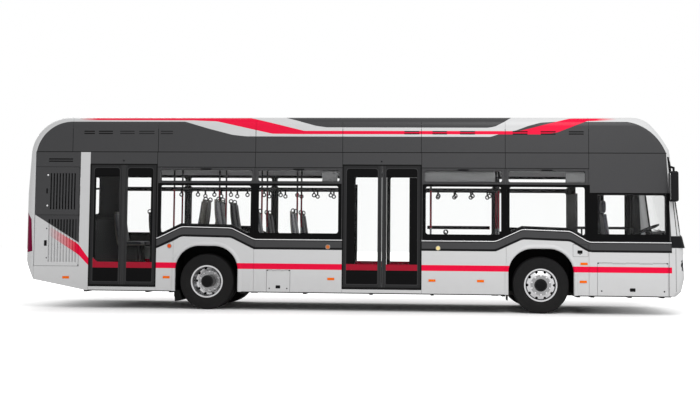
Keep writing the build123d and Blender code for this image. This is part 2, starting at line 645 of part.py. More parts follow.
def panes(side, x0, x1, top, hopper):
    """Opening, rebate and panes of one window bay."""
    low = GLASS_LOW_Z
    x0, x1 = x0 + BAY_FRAME, x1 - BAY_FRAME
    parts = [(low, top)]
    if hopper:
        parts = [(low, TRANSOM_Z - GLASS_EDGE / 2), (TRANSOM_Z + GLASS_EDGE / 2, top)]
    cuts, lites = [], []
    y0, y1 = flank(side, -5, GLASS + GLASS_BED)
    cuts.append(flank_plate(above_belt(x0, x1, low, top), y0, y1))
    for z0, z1 in parts:
        outline = above_belt(x0, x1, z0, z1) if z0 == low else [(x0, z0), (x1, z0), (x1, z1), (x0, z1)]
        y0, y1 = flank(side, GLASS_BED, GLASS_BED + GLASS)
        lites.append(flank_plate(inset_outline(outline, GLASS_EDGE), y0, y1, 12.0))
        y0, y1 = flank(side, -5, WALL + 5)
        cuts.append(flank_plate(inset_outline(outline, GLASS_LAP), y0, y1, 40.0))
    return cuts, lites


def inset_outline(points, by):
    """Corner points of an outline drawn in by a distance, its corners given anticlockwise."""
    lines = []
    for (x0, z0), (x1, z1) in zip(points, points[1:] + points[:1]):
        length = math.hypot(x1 - x0, z1 - z0)
        nx, nz = -(z1 - z0) / length, (x1 - x0) / length
        lines.append((nx, nz, nx * x0 + nz * z0 + by))
    corners = []
    for (a0, b0, c0), (a1, b1, c1) in zip(lines[-1:] + lines[:-1], lines):
        det = a0 * b1 - a1 * b0
        corners.append(((c0 * b1 - c1 * b0) / det, (a0 * c1 - a1 * c0) / det))
    return corners


def build_walls():
    """Dark window walls, one panel to each bay, with the door headers, and all side panes."""
    lites = []
    for side, name in ((-1, "right"), (1, "left")):
        pieces = []
        half = PANEL_GAP / 2
        y0, y1 = flank(side, 0, WALL)
        for bay_side, x0, x1, top, hopper in BAYS:
            if bay_side != side:
                continue
            if x1 == FRONT_CAP_X:
                wall = cab_wall(side, x0 + half)
                x1 = CAB_GLASS_X
            else:
                wall = flank_plate(above_belt(x0 + half, x1 - half, BELT_Z, CANTRAIL_Z), y0, y1)
            cuts, glass = panes(side, x0, x1, top, hopper)
            for cut in cuts:
                wall = wall - cut
            pieces.append(wall)
            lites += glass
        for door, door_side, x0, x1 in DOORWAYS:
            if door_side == side:
                pieces += [door_header(side, x0, x1), threshold(side, x0, x1)]
        if side == 1:
            pieces.append(cab_wall(side, FRONT_DOOR_XS[1]))
            wall = block(REAR_CAP_X, ENGINE_BAY_X - half, y0, y1, LIDS[0][3], CANTRAIL_Z)
            x0, x1, z0, z1 = REAR_SIDE_LIGHT
            outline = [(x0, z0), (x1, z0), (x1, z1), (x0, z1)]
            wall = wall - flank_plate(outline, *flank(side, -5, GLASS + GLASS_BED))
            wall = wall - flank_plate(inset_outline(outline, GLASS_LAP), *flank(side, -5, WALL + 5), 40.0)
            pieces.append(wall)
            y0, y1 = flank(side, GLASS_BED, GLASS_BED + GLASS)
            lites.append(flank_plate(inset_outline(outline, GLASS_EDGE), y0, y1, 12.0))
        else:
            top = LIDS[0][4] + LID_GAP
            wall = block(REAR_CAP_X, ENGINE_BAY_X + HINGE_GAP - PANEL_GAP, y0, y1, top, CANTRAIL_Z)
            y0, y1 = flank(side, -5, 20)
            x0, x1 = REAR_X + 423, REAR_X + 875
            slots = [block(x0, x1, y0, y1, CANTRAIL_Z - drop, CANTRAIL_Z - drop + 22) for drop in (188, 147)]
            pieces.append(wall - merge(slots))
        nodes[f"side_wall_{name}"] = merge(pieces)
    nodes["windows"] = merge([nodes.pop("rear_window"), *lites])


def cab_wall(side, x0):
    """Front end of a flank, taken from the nose so that it follows the rounded corner."""
    shell = nose_upper(0) - nose_upper(WALL, BELT_Z - 5, CANTRAIL_Z + 5)
    low, high = pillar_x(BELT_Z) - PANEL_GAP, pillar_x(CANTRAIL_Z) - PANEL_GAP
    outline = [(x0, BELT_Z), (low, BELT_Z), (high, CANTRAIL_Z), (x0, CANTRAIL_Z)]
    return shell & flank_plate(outline, side * (HALF - 200), side * (HALF + 5))


def door_header(side, x0, x1):
    """Header over a doorway, with the rollers' track along its inner face."""
    y0, y1 = flank(side, 0, WALL)
    head = block(x0 + PANEL_GAP / 2, x1 - PANEL_GAP / 2, y0, y1, DOOR_TOP_Z, CANTRAIL_Z)
    y0, y1 = flank(side, WALL - 1, POST_DEPTH + 32)
    track = block(x0 + TRACK_END, x1 - TRACK_END, y0, y1, *TRACK_ZS)
    gap = ROLLER_R + TRACK_CLEARANCE
    y0, y1 = flank(side, POST_DEPTH - gap, POST_DEPTH + gap)
    slot = block(x0 + TRACK_END + 15, x1 - TRACK_END - 15, y0, y1, TRACK_ZS[0] - 1, TRACK_ZS[1] - 8)
    return head + track - slot


def threshold(side, x0, x1):
    """Dark strip on the sill below the leaves."""
    y0, y1 = flank(side, 4, 34)
    return block(x0 + PANEL_GAP / 2, x1 - PANEL_GAP / 2, y0, y1, FLOOR_Z + SEAT_GAP, FLOOR_Z + THRESHOLD_H)


def build_skirts():
    """Silver lower panels with the wheel arches, lid openings and door sills."""
    pieces = []
    arches = []
    for axle in (REAR_AXLE_X, FRONT_AXLE_X):
        place = Plane(origin=(axle, 0, ARCH_TOP_Z / 2), x_dir=(1, 0, 0), z_dir=(0, -1, 0))
        face = place * Rectangle(2 * ARCH_HALF, ARCH_TOP_Z)
        face = fillet([v for v in face.vertices() if v.Z > 100], ARCH_R)
        arches.append(extrude(face, amount=HALF + 10, both=True))
    moving = {}
    for side in (-1, 1):
        y0, y1 = flank(side, 0, SKIRT_WALL)
        sills = [(d[2], d[3]) for d in DOORWAYS if d[1] == side]
        for x0, x1 in zip(SKIRT_SEAMS[side], SKIRT_SEAMS[side][1:]):
            a, b = x0 + PANEL_GAP / 2, x1 - PANEL_GAP / 2
            if (x0, x1) in sills:
                pieces.append(block(a, b, y0, y1, SKIRT_Z, FLOOR_Z))
                continue
            top = BELT_Z - PANEL_GAP
            if x1 == ENGINE_BAY_X:
                a, b = x0, x1 + (HINGE_GAP if side == -1 else -PANEL_GAP / 2)
                high = LIDS[1][3] - LID_GAP if side == -1 else LIDS[1][4]
                outline = [(a, skirt_low(a)), (b, skirt_low(b)), (b, high), (a, high)]
            elif side == -1 and x0 == ENGINE_BAY_X:
                a = x0 + HINGE_GAP
                high = CANTRAIL_Z
                outline = [(a, skirt_low(a)), (KICK_X, SKIRT_Z), (b, SKIRT_Z), (b, high), (a, high)]
            else:
                low = [(a, skirt_low(a))] + ([(KICK_X, SKIRT_Z)] if a < KICK_X < b else []) + [(b, SKIRT_Z)]
                outline = low + belt(a, b, top)[::-1]
            panel = flank_plate(outline, y0, y1)
            for arch in arches:
                panel = panel - arch
            pieces.append(panel)
    fixed_all = []
    for name, x0, x1, z0, z1, edge in LIDS:
        y0, y1 = flank(-1, 0, SKIRT_WALL)
        hinge_y = -(HALF - HINGE_R)
        if edge == "front":
            lid = block(x0 + LID_GAP, x1 - HINGE_GAP, y0, y1, z0, z1)
            knuckles, fixed = hinge((x1, hinge_y, z1 - 30), (0, 0, -1), (0, -1, 0), z1 - z0 - 60)
            hole = block(x0, x1 + HINGE_GAP, y0 - 5, y1 + 5, z0 - LID_GAP, z1 + LID_GAP)
        else:
            lid = block(x0 + LID_GAP, x1 - LID_GAP, y0, y1, z0, z1 - HINGE_GAP)
            knuckles, fixed = hinge((x0 + 30, hinge_y, z1), (1, 0, 0), (0, -1, 0), x1 - x0 - 60)
            hole = block(x0, x1, y0 - 5, y1 + 5, z0 - 50, z1 + HINGE_GAP)
        if name in LOUVRES:
            a, b, c, d = LOUVRES[name]
            count = int((b - a) / LOUVRE_PITCH)
            starts = [a + i * LOUVRE_PITCH for i in range(count + 1)]
            slots = [block(x, x + LOUVRE_SLOT, y0 - 1, -(HALF - LOUVRE_DEPTH), c, d) for x in starts]
            lid = lid - merge(slots)
        nodes[name] = lid + knuckles
        pieces = [p - hole for p in pieces]
        fixed_all.append(fixed)
    host = []
    for panel in pieces:
        near = [f for f in fixed_all if (f & panel).volume > 1.0] if panel.bounding_box().min.Y < 0 else []
        for f in near:
            panel = panel + merge([s for s in f.solids() if (s & panel).volume > 1.0])
        host.append(panel)
    nodes["skirt_panels"] = merge(host)


def leaf_frame(side, jamb, toward):
    """Function that places door points: u from the jamb into the doorway, depth below the flank, height."""
    def place(u0, u1, v0, v1, z0, z1):
        return block(jamb + toward * u0, jamb + toward * u1, side * (HALF - v0), side * (HALF - v1), z0, z1)
    return place


def build_doors():
    """Two leaves to a doorway, each with its turning post; the leaf is carried on the ends of the post's arms."""
    for door, side, x0, x1 in DOORWAYS:
        for end, jamb, toward in (("rear", x0, 1), ("front", x1, -1)):
            put = leaf_frame(side, jamb, toward)
            u0, u1 = LEAF_SIDE_GAP, (x1 - x0 - LEAF_MEET_GAP) / 2
            v0, v1 = LEAF_RECESS, LEAF_RECESS + LEAF
            z0, z1 = FLOOR_Z + LEAF_FOOT_GAP, DOOR_TOP_Z - LEAF_TOP_GAP
            tip = u1 - ROLLER_INSET
            hang = (tip - POST_BEHIND) / 2
            y = side * (HALF - POST_DEPTH)
            pin_x = jamb + toward * hang
            a, b = u0 + STILE, u1 - EDGE_RUBBER
            c, d = z0 + STILE, z1 - STILE
            frame = put(u0, u1, v0, v1, z0, z1) - put(a, b, v0 - 1, v1 + 1, c, d)
            frame = frame - put(a - 14, b + 14, v0 - 1, v0 + GLASS + 2, c - 14, d + 14)
            pane = put(a - 13, b + 13, v0 + 1, v0 + GLASS + 1.7, c - 13, d + 13)
            post = rod(jamb - toward * POST_BEHIND, y, FLOOR_Z + SEAT_GAP, CEILING_Z - SEAT_GAP, POST_R)
            for (low, high), foot in ((LOW_ARM_ZS, z0), (HIGH_ARM_ZS, z1 - BRACKET)):
                post = post + put(-POST_BEHIND, hang, POST_DEPTH - ARM_HALF, POST_DEPTH + ARM_HALF, low, high)
                post = post + rod(pin_x, y, low, high, ARM_HALF + 8)
                post = post - rod(pin_x, y, low - 1, high + 1, ARM_PIN_R + RUNNING_CLEARANCE)
                frame = frame + put(hang - 24, hang + 24, v1 - 2, POST_DEPTH + 16, foot, foot + BRACKET)
                frame = frame + rod(pin_x, y, min(low, foot), max(high, foot + BRACKET), ARM_PIN_R)
            frame = frame + put(tip - 15, tip + 15, v1 - 2, POST_DEPTH + 12, z1 - BRACKET, z1 - 2)
            frame = frame + rod(jamb + toward * tip, y, z1 - 4, TRACK_ZS[1] - 14, ROLLER_R)
            nodes[f"door_leaf_{door}_{end}"] = merge([frame, pane])
            nodes[f"door_post_{door}_{end}"] = post


def wheel_place(side, axle_x, y):
    """Plane at a wheel's centre with its normal outward."""
    return Plane(origin=(axle_x, side * y, TYRE_R), x_dir=(1, 0, 0), z_dir=(0, side, 0))


def tyre():
    """Tyre about local Z: bead, bulged sidewalls and a crowned tread face."""
    half = TYRE_W / 2
    outline = [(RIM_R, half - BEAD), (RIM_LIP_R + 4, half - BEAD), (RIM_LIP_R + 16, half - 12), (TYRE_R - 110, half)]
    outline += [(TYRE_R - 60, half - 4), (TYRE_R - 14, half - 22), (TYRE_R, half - 50)]
    points = [(r, 0, v) for r, v in outline] + [(r, 0, -v) for r, v in reversed(outline)]
    return revolve(make_face(Polyline(points, close=True)), axis=Axis.Z)


def ring(outer, inner, z0, z1):
    """Plain ring about local Z."""
    return Pos(0, 0, (z0 + z1) / 2) * (Cylinder(outer, z1 - z0) - Cylinder(inner, z1 - z0 + 2))


def rim(dish, hub_z0, hub_z1, bore_z1):
    """Rim barrel with lips, a pierced dish and a hub, about local Z; the dish is given by its outer face."""
    half = TYRE_W / 2 - BEAD
    body = ring(RIM_R - SEAT_GAP, RIM_R - 18, -half - 3, half + 3)
    for s in (-1, 1):
        body = body + ring(RIM_LIP_R, RIM_R - 18, *sorted((s * (half + 1.5), s * (half + 15))))
    back = [(r, v - DISH) for r, v in reversed(dish)]
    disc = revolve(make_face(Polyline([(r, 0, v) for r, v in list(dish) + back], close=True)), axis=Axis.Z)
    hole = Pos(HAND_HOLE_RING, 0, dish[1][1]) * Cylinder(HAND_HOLE_R, 90)
    holes = [Rot(0, 0, 36 * i) * hole for i in range(10)]
    disc = disc - merge(holes)
    hub = Pos(0, 0, (hub_z0 + hub_z1) / 2) * Cylinder(HUB_R, hub_z1 - hub_z0)
    bore = Pos(0, 0, (hub_z0 - 5 + bore_z1) / 2) * Cylinder(SPINDLE_R + RUNNING_CLEARANCE, bore_z1 - hub_z0 + 5)
    return body + disc + hub - bore


def build_wheels():
    """Single front wheels on steered knuckles, twin rear wheels as one turning piece."""
    for side, name in ((-1, "right"), (1, "left")):
        front = wheel_place(side, FRONT_AXLE_X, WHEEL_Y)
        nodes[f"tyre_front_{name}"] = front * tyre()
        nodes[f"rim_front_{name}"] = front * rim(FRONT_DISH, 8.0, 150.0, 100.0)
        rear = wheel_place(side, REAR_AXLE_X, WHEEL_Y)
        inner = Pos(0, 0, -TWIN_PITCH)
        nodes[f"tyre_rear_{name}"] = merge([rear * tyre(), rear * (inner * tyre())])
        mid = -TWIN_PITCH / 2
        outer_rim = rim(TWIN_DISH, mid, 84.0, 66.0)
        inner_rim = inner * Rot(180, 0, 0) * rim(TWIN_DISH, mid, -20.0, -10.0)
        nodes[f"rim_rear_{name}"] = rear * (outer_rim + inner_rim)


def build_running_gear():
    """Axle beams, knuckles, underframe, wheel boxes."""
    z = TYRE_R
    low, high = BEAM_ZS
    half = [(700, low), (880, z - 53), (KINGPIN_Y, z - 53), (KINGPIN_Y, z + 53), (830, z + 53), (640, high)]
    outline = half + [(-y, h) for y, h in reversed(half)]
    face = make_face(Polyline([(FRONT_AXLE_X - BEAM_HALF, y, h) for y, h in outline], close=True))
    beam = extrude(face, amount=2 * BEAM_HALF, dir=(1, 0, 0))
    for side, name in ((-1, "right"), (1, "left")):
        y = side * KINGPIN_Y
        beam = beam + rod(FRONT_AXLE_X, y, z - 60, z + 60, 48)
        beam = beam - rod(FRONT_AXLE_X, y, z - 70, z + 70, KINGPIN_R + RUNNING_CLEARANCE)
        knuckle = rod(FRONT_AXLE_X, y, z - 92, z + 92, KINGPIN_R)
        for s in (-1, 1):
            x0, x1 = FRONT_AXLE_X - 45, FRONT_AXLE_X + 45
            ear = block(x0, x1, side * (KINGPIN_Y - 40), side * (WHEEL_Y - 4), z + s * 66, z + s * 92)
            knuckle = knuckle + ear
        x0, x1 = FRONT_AXLE_X - 70, FRONT_AXLE_X + 70
        knuckle = knuckle + block(x0, x1, side * (WHEEL_Y - 20), side * (WHEEL_Y + 2), z - 92, z + 92)
        spindle = wheel_place(side, FRONT_AXLE_X, WHEEL_Y) * (Pos(0, 0, 47) * Cylinder(SPINDLE_R, 96))
        nodes[f"knuckle_{name}"] = knuckle + spindle
    for s in (-1, 1):
        x0, x1 = FRONT_AXLE_X - 50, FRONT_AXLE_X + 50
        beam = beam + block(x0, x1, s * (RAIL_Y - 35), s * (RAIL_Y + 35), high - 5, RAIL_ZS[0])
    nodes["front_axle"] = beam
    plate = REAR_BOX_Y + BOX_WALL
    axle = block(REAR_AXLE_X - 80, REAR_AXLE_X + 80, -plate - 5, plate + 5, low, high)
    axle = axle + block(REAR_AXLE_X - 190, REAR_AXLE_X + 190, -170, 170, low - 20, high)
    for s in (-1, 1):
        axle = axle + block(REAR_AXLE_X - 120, REAR_AXLE_X + 120, s * plate, s * (plate + 20), low, z + 130)
        place = wheel_place(s, REAR_AXLE_X, 0)
        axle = axle + place * (Pos(0, 0, plate + 85) * Cylinder(150, 150))
        axle = axle + place * (Pos(0, 0, plate + 300) * Cylinder(SPINDLE_R, 480))
        x0, x1 = REAR_AXLE_X - 50, REAR_AXLE_X + 50
        axle = axle + block(x0, x1, s * (RAIL_Y - 35), s * (RAIL_Y + 35), high - 5, RAIL_ZS[0])
    nodes["rear_axle"] = axle
    frame = None
    for s in (-1, 1):
        y0, y1 = s * (RAIL_Y - RAIL_HALF), s * (RAIL_Y + RAIL_HALF)
        x0, x1 = BULKHEAD_X - 110, BULKHEAD_X - 40
        rail = block(x0, FRONT_X - 300, y0, y1, *RAIL_ZS)
        rail = rail + block(x0, x1, y0, y1, RAIL_ZS[0], CRADLE_ZS[1])
        rail = rail + block(CRADLE_END_X, x1, y0, y1, *CRADLE_ZS)
        for x in (TOW_FRONT_X, TOW_REAR_X):
            rail = rail - rod(x, s * RAIL_Y, RAIL_ZS[0] - 10, CRADLE_ZS[1] + 10, TOW_R)
        for x in JACK_PADS:
            half = JACK_PAD / 2
            a, b = s * (RAIL_Y - half), s * (RAIL_Y + half)
            pad = block(x - half, x + half, a, b, RAIL_ZS[0] - JACK_PAD_H, RAIL_ZS[0])
            rail = rail + pad
        frame = rail if frame is None else frame + rail
    for x, right, left in CROSS_MEMBERS:
        frame = frame + block(x - CROSS_HALF, x + CROSS_HALF, -right, left, RAIL_ZS[0] + 10, RAIL_ZS[1])
    frame = frame + block(REAR_X + 570, REAR_X + 630, -REACH, REACH, *CRADLE_ZS)
    nodes["underframe"] = frame
    boxes = []
    for axle_x, inner_y in ((REAR_AXLE_X, REAR_BOX_Y), (FRONT_AXLE_X, FRONT_BOX_Y)):
        for s in (-1, 1):
            x0, x1 = axle_x - BOX_HALF, axle_x + BOX_HALF
            shell = block(x0, x1, s * inner_y, s * REACH, FLOOR_Z - FLOOR_BOARD, BOX_TOP_Z)
            t = BOX_WALL
            shell = shell - block(x0 + t, x1 - t, s * (inner_y + t), s * (REACH + 5), 300, BOX_TOP_Z - t)
            flap = block(x0, x0 + t, s * (REACH - 330), s * (REACH - 10), 230, FLOOR_Z - FLOOR_BOARD)
            boxes.append(shell + flap)
    nodes["wheel_boxes"] = merge(boxes)


def build_inside():
    """Floor boards, podiums, bulkhead, engine, seats, rails and the driver's place."""
    low = FLOOR_Z - FLOOR_BOARD
    boards = [block(x0, x1, -half, half, low, FLOOR_Z) for x0, x1, half in BOARDS]
    nodes["saloon_floor"] = merge(boards)
    inside = HALF - WALL
    podiums = [block(x0, x1, s * PODIUM_IN_Y, s * inside, FLOOR_Z, PODIUM_Z) for s, x0, x1 in PODIUMS]
    x0, x1, x2 = REAR_CAP_X + BULKHEAD, BULKHEAD_X - BULKHEAD, BULKHEAD_X - SEAT_GAP
    y, z, top = RADIATOR_Y, ENGINE_DECK_Z, CEILING_Z - SEAT_GAP
    bulkhead = block(x1, x2, -inside, inside, low, z) + block(x1, x2, -inside, y, z - 1, top)
    bulkhead = bulkhead + block(x0, x2, y - BULKHEAD, y, z - 1, top)
    podiums.append(bulkhead + block(x0, x2, y - BULKHEAD, inside, z - BULKHEAD, z))
    nodes["engine_block"] = block(REAR_X + 300, REAR_X + 920, -620, 620, CRADLE_ZS[1], 1500)
    seats = []
    for s, x, facing, stand in SEATS:
        for k in (0, 1):
            y = s * (SEAT_Y - k * SEAT_PITCH_Y)
            top = stand + SEAT_RISE if stand < BOX_TOP_Z else stand + 240
            a, b = y - SEAT_W / 2, y + SEAT_W / 2
            cushion = block(x, x + facing * 420, a, b, top - 90, top)
            leg = block(x + facing * 90, x + facing * 330, a + 90, b - 90, stand, top - 80)
            back = flank_plate([(x - facing * SEAT_GAP * 2, top - 90), (x - facing * 60, top - 90),
                                (x - facing * 130, top + 640), (x - facing * 80, top + 640)], a, b)
            seats += [cushion + leg, back]
    nodes["passenger_seats"] = merge(seats)
    rails = []
    for x, y in POLES:
        foot = FLOOR_Z
        rails.append(rod(x, y, foot, CEILING_Z, POLE_R))
    for y in sorted({y for x, y in POLES}):
        xs = sorted(x for x, py in POLES if py == y)
        for a, b in zip(xs, xs[1:]):
            if b - a < 1700:
                rails.append(bar((a + POLE_R + SEAT_GAP, y, RAIL_Z), (b - POLE_R - SEAT_GAP, y, RAIL_Z), POLE_R))
    nodes["grab_rails"] = merge(rails)
    x0 = FRONT_AXLE_X + BOX_HALF + 14
    cab = block(x0, FRONT_X - 440, -inside, CAB_IN_Y, FLOOR_Z, CAB_Z)
    wall = block(x0 + 5, x0 + 45, -inside, CAB_IN_Y, CAB_Z, CAB_GLASS_TOP_Z - 10)
    nodes["inner_panels"] = merge([nodes["inner_panels"], *podiums, cab + wall])
    x, top = WHEEL_X - 643, 2050.0
    seat = block(x, x + 480, DRIVER_Y - 250, DRIVER_Y + 250, CAB_Z + 380, CAB_Z + 490)
    seat = seat + block(x + 100, x + 380, DRIVER_Y - 150, DRIVER_Y + 150, CAB_Z, CAB_Z + 400)
    outline = [(x - SEAT_GAP, CAB_Z + 400), (x - 80, CAB_Z + 400), (x - 160, top), (x - 80, top)]
    back = flank_plate(outline, DRIVER_Y - 240, DRIVER_Y + 240)
    nodes["driver_seat"] = merge([seat, back])
    dash = [(-13, CAB_Z), (307, CAB_Z), (417, 1180), (417, 1343), (207, 1464), (87, 1440), (-70, 1350)]
    body = flank_plate([(WHEEL_X + x, z) for x, z in dash], DASH_OUT_Y, CAB_IN_Y - 20)
    tilt = math.radians(WHEEL_TILT)
    axis = Vector(-math.sin(tilt), 0, math.cos(tilt))
    centre = Vector(WHEEL_X, DRIVER_Y, WHEEL_Z)
    foot, head = centre - axis * 330, centre - axis * 70
    body = body + bar(foot, head, 42)
    wheel = Plane(origin=centre, x_dir=(0, 1, 0), z_dir=axis)
    nodes["dashboard"] = body - bar(head, centre + axis * 10, 60)
    hub = Pos(0, 0, -34.85) * Cylinder(46, 69.7)
    spokes = [Rot(0, 0, a) * Pos(HANDWHEEL_R / 2, 0, -10) * Box(HANDWHEEL_R, 44, 14) for a in (90, 210, 330)]
    nodes["steering_wheel"] = wheel * (Torus(HANDWHEEL_R, 15) + hub + spokes[0] + spokes[1] + spokes[2])


def build_trim():
    """Lamps on the flanks, mirrors and wipers."""
    lamps = []
    for s in (-1, 1):
        y0, y1 = s * (HALF + SEAT_GAP), s * (HALF + LAMP_PROUD)
        spots = list(SIDE_MARKERS) + [REPEATER]
        if s == 1:
            spots = [p for p in spots if p[0] < FRONT_DOOR_XS[0]]
        for x, z in spots:
            w, h = MARKER_HALF
            lamps.append(block(x - w, x + w, y0, y1, z - h, z + h))
        for x, z in ROUND_LAMPS:
            lamps.append(bar((x, y0, z), (x, y1, z), ROUND_LAMP_R))
    nodes["side_lamps"] = merge(lamps)
    mirrors = []
    x, low = FRONT_X - 270.0, CANTRAIL_Z - 866.0
    for s in (-1, 1):
        near, mid, far, root = (s * (HALF + d) for d in (25, 125, 225, -35))
        head = block(x - 70, x + 70, near, far, low, low + 538)
        head = fillet(head.edges(), 40)
        arm = bar((x - 40, root, low + 636), (x, mid, low + 596), 20)
        arm = arm + bar((x, mid, low + 608), (x, mid, low + 516), 20)
        mirrors.append((head + arm) - nose_upper(-SEAT_GAP, low + 296, CANTRAIL_Z))
    nodes["mirrors"] = merge(mirrors)


def main():
    """Build every node and write its file."""
    rear_hood, front_hood = build_roof()
    build_front(front_hood)
    build_rear(rear_hood)
    build_walls()
    build_skirts()
    build_doors()
    build_wheels()
    build_running_gear()
    build_inside()
    build_trim()
    os.makedirs("parts", exist_ok=True)
    for name, shape in nodes.items():
        export_step(shape, f"parts/{name}.step")


main()
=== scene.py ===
"""Looks of a twelve-metre low-floor city bus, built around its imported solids.

Frame: +X forward, +Y to the bus's left, +Z up, metres, origin on the ground under the middle of the bus.
"""

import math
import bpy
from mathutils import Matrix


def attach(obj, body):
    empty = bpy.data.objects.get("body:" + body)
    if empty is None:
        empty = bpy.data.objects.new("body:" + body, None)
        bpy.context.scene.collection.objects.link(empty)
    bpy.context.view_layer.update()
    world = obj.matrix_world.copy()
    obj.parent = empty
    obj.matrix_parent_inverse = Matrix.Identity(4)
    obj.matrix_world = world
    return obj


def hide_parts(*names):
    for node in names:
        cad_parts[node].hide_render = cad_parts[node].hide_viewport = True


bl_info = {
    "name": "City Bus Finish",
    "version": (1, 0, 0),
    "blender": (4, 5, 0),
    "location": "View3D > Sidebar > City Bus",
    "description": "Paint, glazing trim, doors, wheels, lamps and seats for a low-floor city bus",
    "category": "Object",
}

import bmesh
import bpy
import numpy as np
from mathutils import Matrix

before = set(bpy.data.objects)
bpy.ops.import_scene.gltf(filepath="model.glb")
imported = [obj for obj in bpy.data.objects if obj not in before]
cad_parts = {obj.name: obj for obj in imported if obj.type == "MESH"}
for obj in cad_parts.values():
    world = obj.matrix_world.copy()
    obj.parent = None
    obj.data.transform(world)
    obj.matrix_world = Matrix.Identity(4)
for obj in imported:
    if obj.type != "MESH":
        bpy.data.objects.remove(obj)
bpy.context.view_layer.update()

# Directions
X_AXIS, Y_AXIS, Z_AXIS = np.eye(3)

# Body sizes
REAR, FRONT = -6.0, 6.0
HALF = 1.275
BELT = 1.105
GLASS_LOW = 1.300
TRANSOM = 2.300
GLASS_TOP = 2.578
CAB_GLASS_TOP = 2.160
CAB_GLASS_FRONT = 5.664
CANTRAIL = 2.870
DOOR_FOOT, DOOR_HEAD = 0.430, 2.637
SKIRT_LOW = 0.330
TYRE_R, TYRE_W = 0.508, 0.275
WHEEL_Y, TWIN_PITCH = 1.080, 0.312
AXLES = {"rear": -2.600, "front": 3.430}
SIDES = {"right": -1, "left": 1}

# Wheel arches: half length, level of the top, radius of the corners
ARCH_HALF, ARCH_TOP, ARCH_R = 0.577, 1.157, 0.440

# Raked nose: front and level of its foot, lean per metre, width of the rounded corner, bow of its plan
NOSE_X, NOSE_Z, NOSE_LEAN = 5.960, 1.190, 0.215 / 1.680
NOSE_CORNER, NOSE_SAG = 0.130, 0.030

# Faces under the wheel nuts and tops of the hub covers, outward from the middle of the outer tyre
NUT_FACE = {"rear": -0.142, "front": 0.128}
HUB_TOP = {"rear": 0.084, "front": 0.150}

# Depths of a piece's face and back below the surface that carries it; a negative depth stands proud
PRINT = (0.0012, 0.0028)
SEAM = (-0.0012, 0.003)
ROOF_SLOT = (-0.0015, 0.004)
VENT_SHADE = (0.0175, 0.0195)
LOUVRE_SHADE = (0.0195, 0.0215)
DUCT_COVER = (0.040, 0.046)
GAP_SHADE = (0.0460, 0.0480)
LEAF_FILM = (0.0080, 0.0087)

# Belt line over the wheels: station, rise
BELT_X = np.array([-3.533, -3.07, -2.15, -1.726, 2.63, 3.10, 3.95, 4.275])
BELT_RISE = np.array([0.0, 0.222, 0.205, 0.0, 0.0, 0.218, 0.190, 0.0])

# Dark lines along the belt: level of the middle, half the height
BELT_LINES = ((GLASS_LOW - 0.036, 0.007), (BELT + 0.016, 0.019), (GLASS_LOW - 0.005, 0.0065))
BEAD_LEVEL = GLASS_LOW - 0.020

# Window bays: side, rear edge, front edge, top, has a hopper
BAYS = (
    (-1, -3.535, -1.724, GLASS_TOP, True),
    (-1, -1.724, -0.125, GLASS_TOP, True),
    (-1, 1.305, 2.800, GLASS_TOP, True),
    (-1, 2.800, 4.277, GLASS_TOP, True),
    (-1, 4.277, CAB_GLASS_FRONT, CAB_GLASS_TOP, False),
    (1, -4.985, -3.535, GLASS_TOP, True),
    (1, -3.535, -1.724, GLASS_TOP, True),
    (1, -1.724, -0.125, GLASS_TOP, True),
    (1, 1.305, 2.800, GLASS_TOP, True),
    (1, 2.800, 4.300, GLASS_TOP, True),
)

# Gap from a bay's edge to its pane, from a transom to a pane, and from a pane's edge to its print or frame
BAY_GAP, TRANSOM_GAP, PANE_EASE = 0.014, 0.001, 0.003

# Dark edge of the cab's pane: rear, front, foot, head
CAB_BORDER = (0.136, 0.024, 0.125, 0.018)

# Width of a hopper's frame: foot, front, head, rear
HOPPER_FRAME = (0.030, 0.045, 0.035, 0.045)

# Doorways: name, side, rear jamb, front jamb
DOORWAYS = (
    ("right_rear", -1, -4.790, -3.535),
    ("right_mid", -1, -0.125, 1.305),
    ("left_mid", 1, -0.125, 1.305),
    ("left_front", 1, 4.300, 5.500),
)

# Doorway seals: way in from the jambs, foot and head of the outer edge, and of the inner edge
SEAL_EDGES = ((-0.004, 0.398, 2.650), (0.019, 0.437, 2.629))

# Door leaves: gaps, frame widths, depths of the frame's face and back, depth of the hinge pins
LEAF_SIDE_GAP, LEAF_MEET_GAP = 0.012, 0.010
STILE, EDGE_RUBBER = 0.058, 0.066
LEAF_FACE, LEAF_BACK, PIN_DEPTH = 0.008, 0.044, 0.090
LOW_ARM, HIGH_ARM = (0.406, 0.420), (2.652, 2.674)
BRACKET, PIN_R, ROLLER_INSET, POST_BEHIND = 0.014, 0.0095, 0.040, 0.040
STRIPE_LOW, STRIPE_HIGH = 0.742, 0.850
HEAD_FILM_LOW = 2.415

# Belt band runs: side, rear end, front end
BELT_RUNS = (
    (-1, -3.533, -0.127),
    (-1, 1.307, 5.712),
    (1, -4.983, -0.127),
    (1, 1.307, 4.298),
    (1, 5.502, 5.712),
)

# Seat pairs: side, foot of the backrest, facing, level they stand on, cushion level
SEATS = (
    (-1, -2.840, -1, 1.190, 1.430),
    (-1, -2.360, 1, 1.190, 1.430),
    (-1, -1.640, 1, 0.760, 1.220),
    (-1, -0.960, 1, 0.760, 1.220),
    (1, -4.700, 1, 0.760, 1.220),
    (1, -4.000, 1, 0.760, 1.220),
    (1, -2.840, -1, 1.190, 1.430),
    (1, -2.360, 1, 1.190, 1.430),
    (1, -1.640, 1, 0.760, 1.220),
    (1, -0.960, 1, 0.760, 1.220),
    (1, 1.900, 1, 0.400, 0.860),
)
SEAT_Y, SEAT_PITCH = 0.985, 0.415
DRIVER_Y = -0.740
DRIVER_SEAT = (4.750, DRIVER_Y, 1.190)

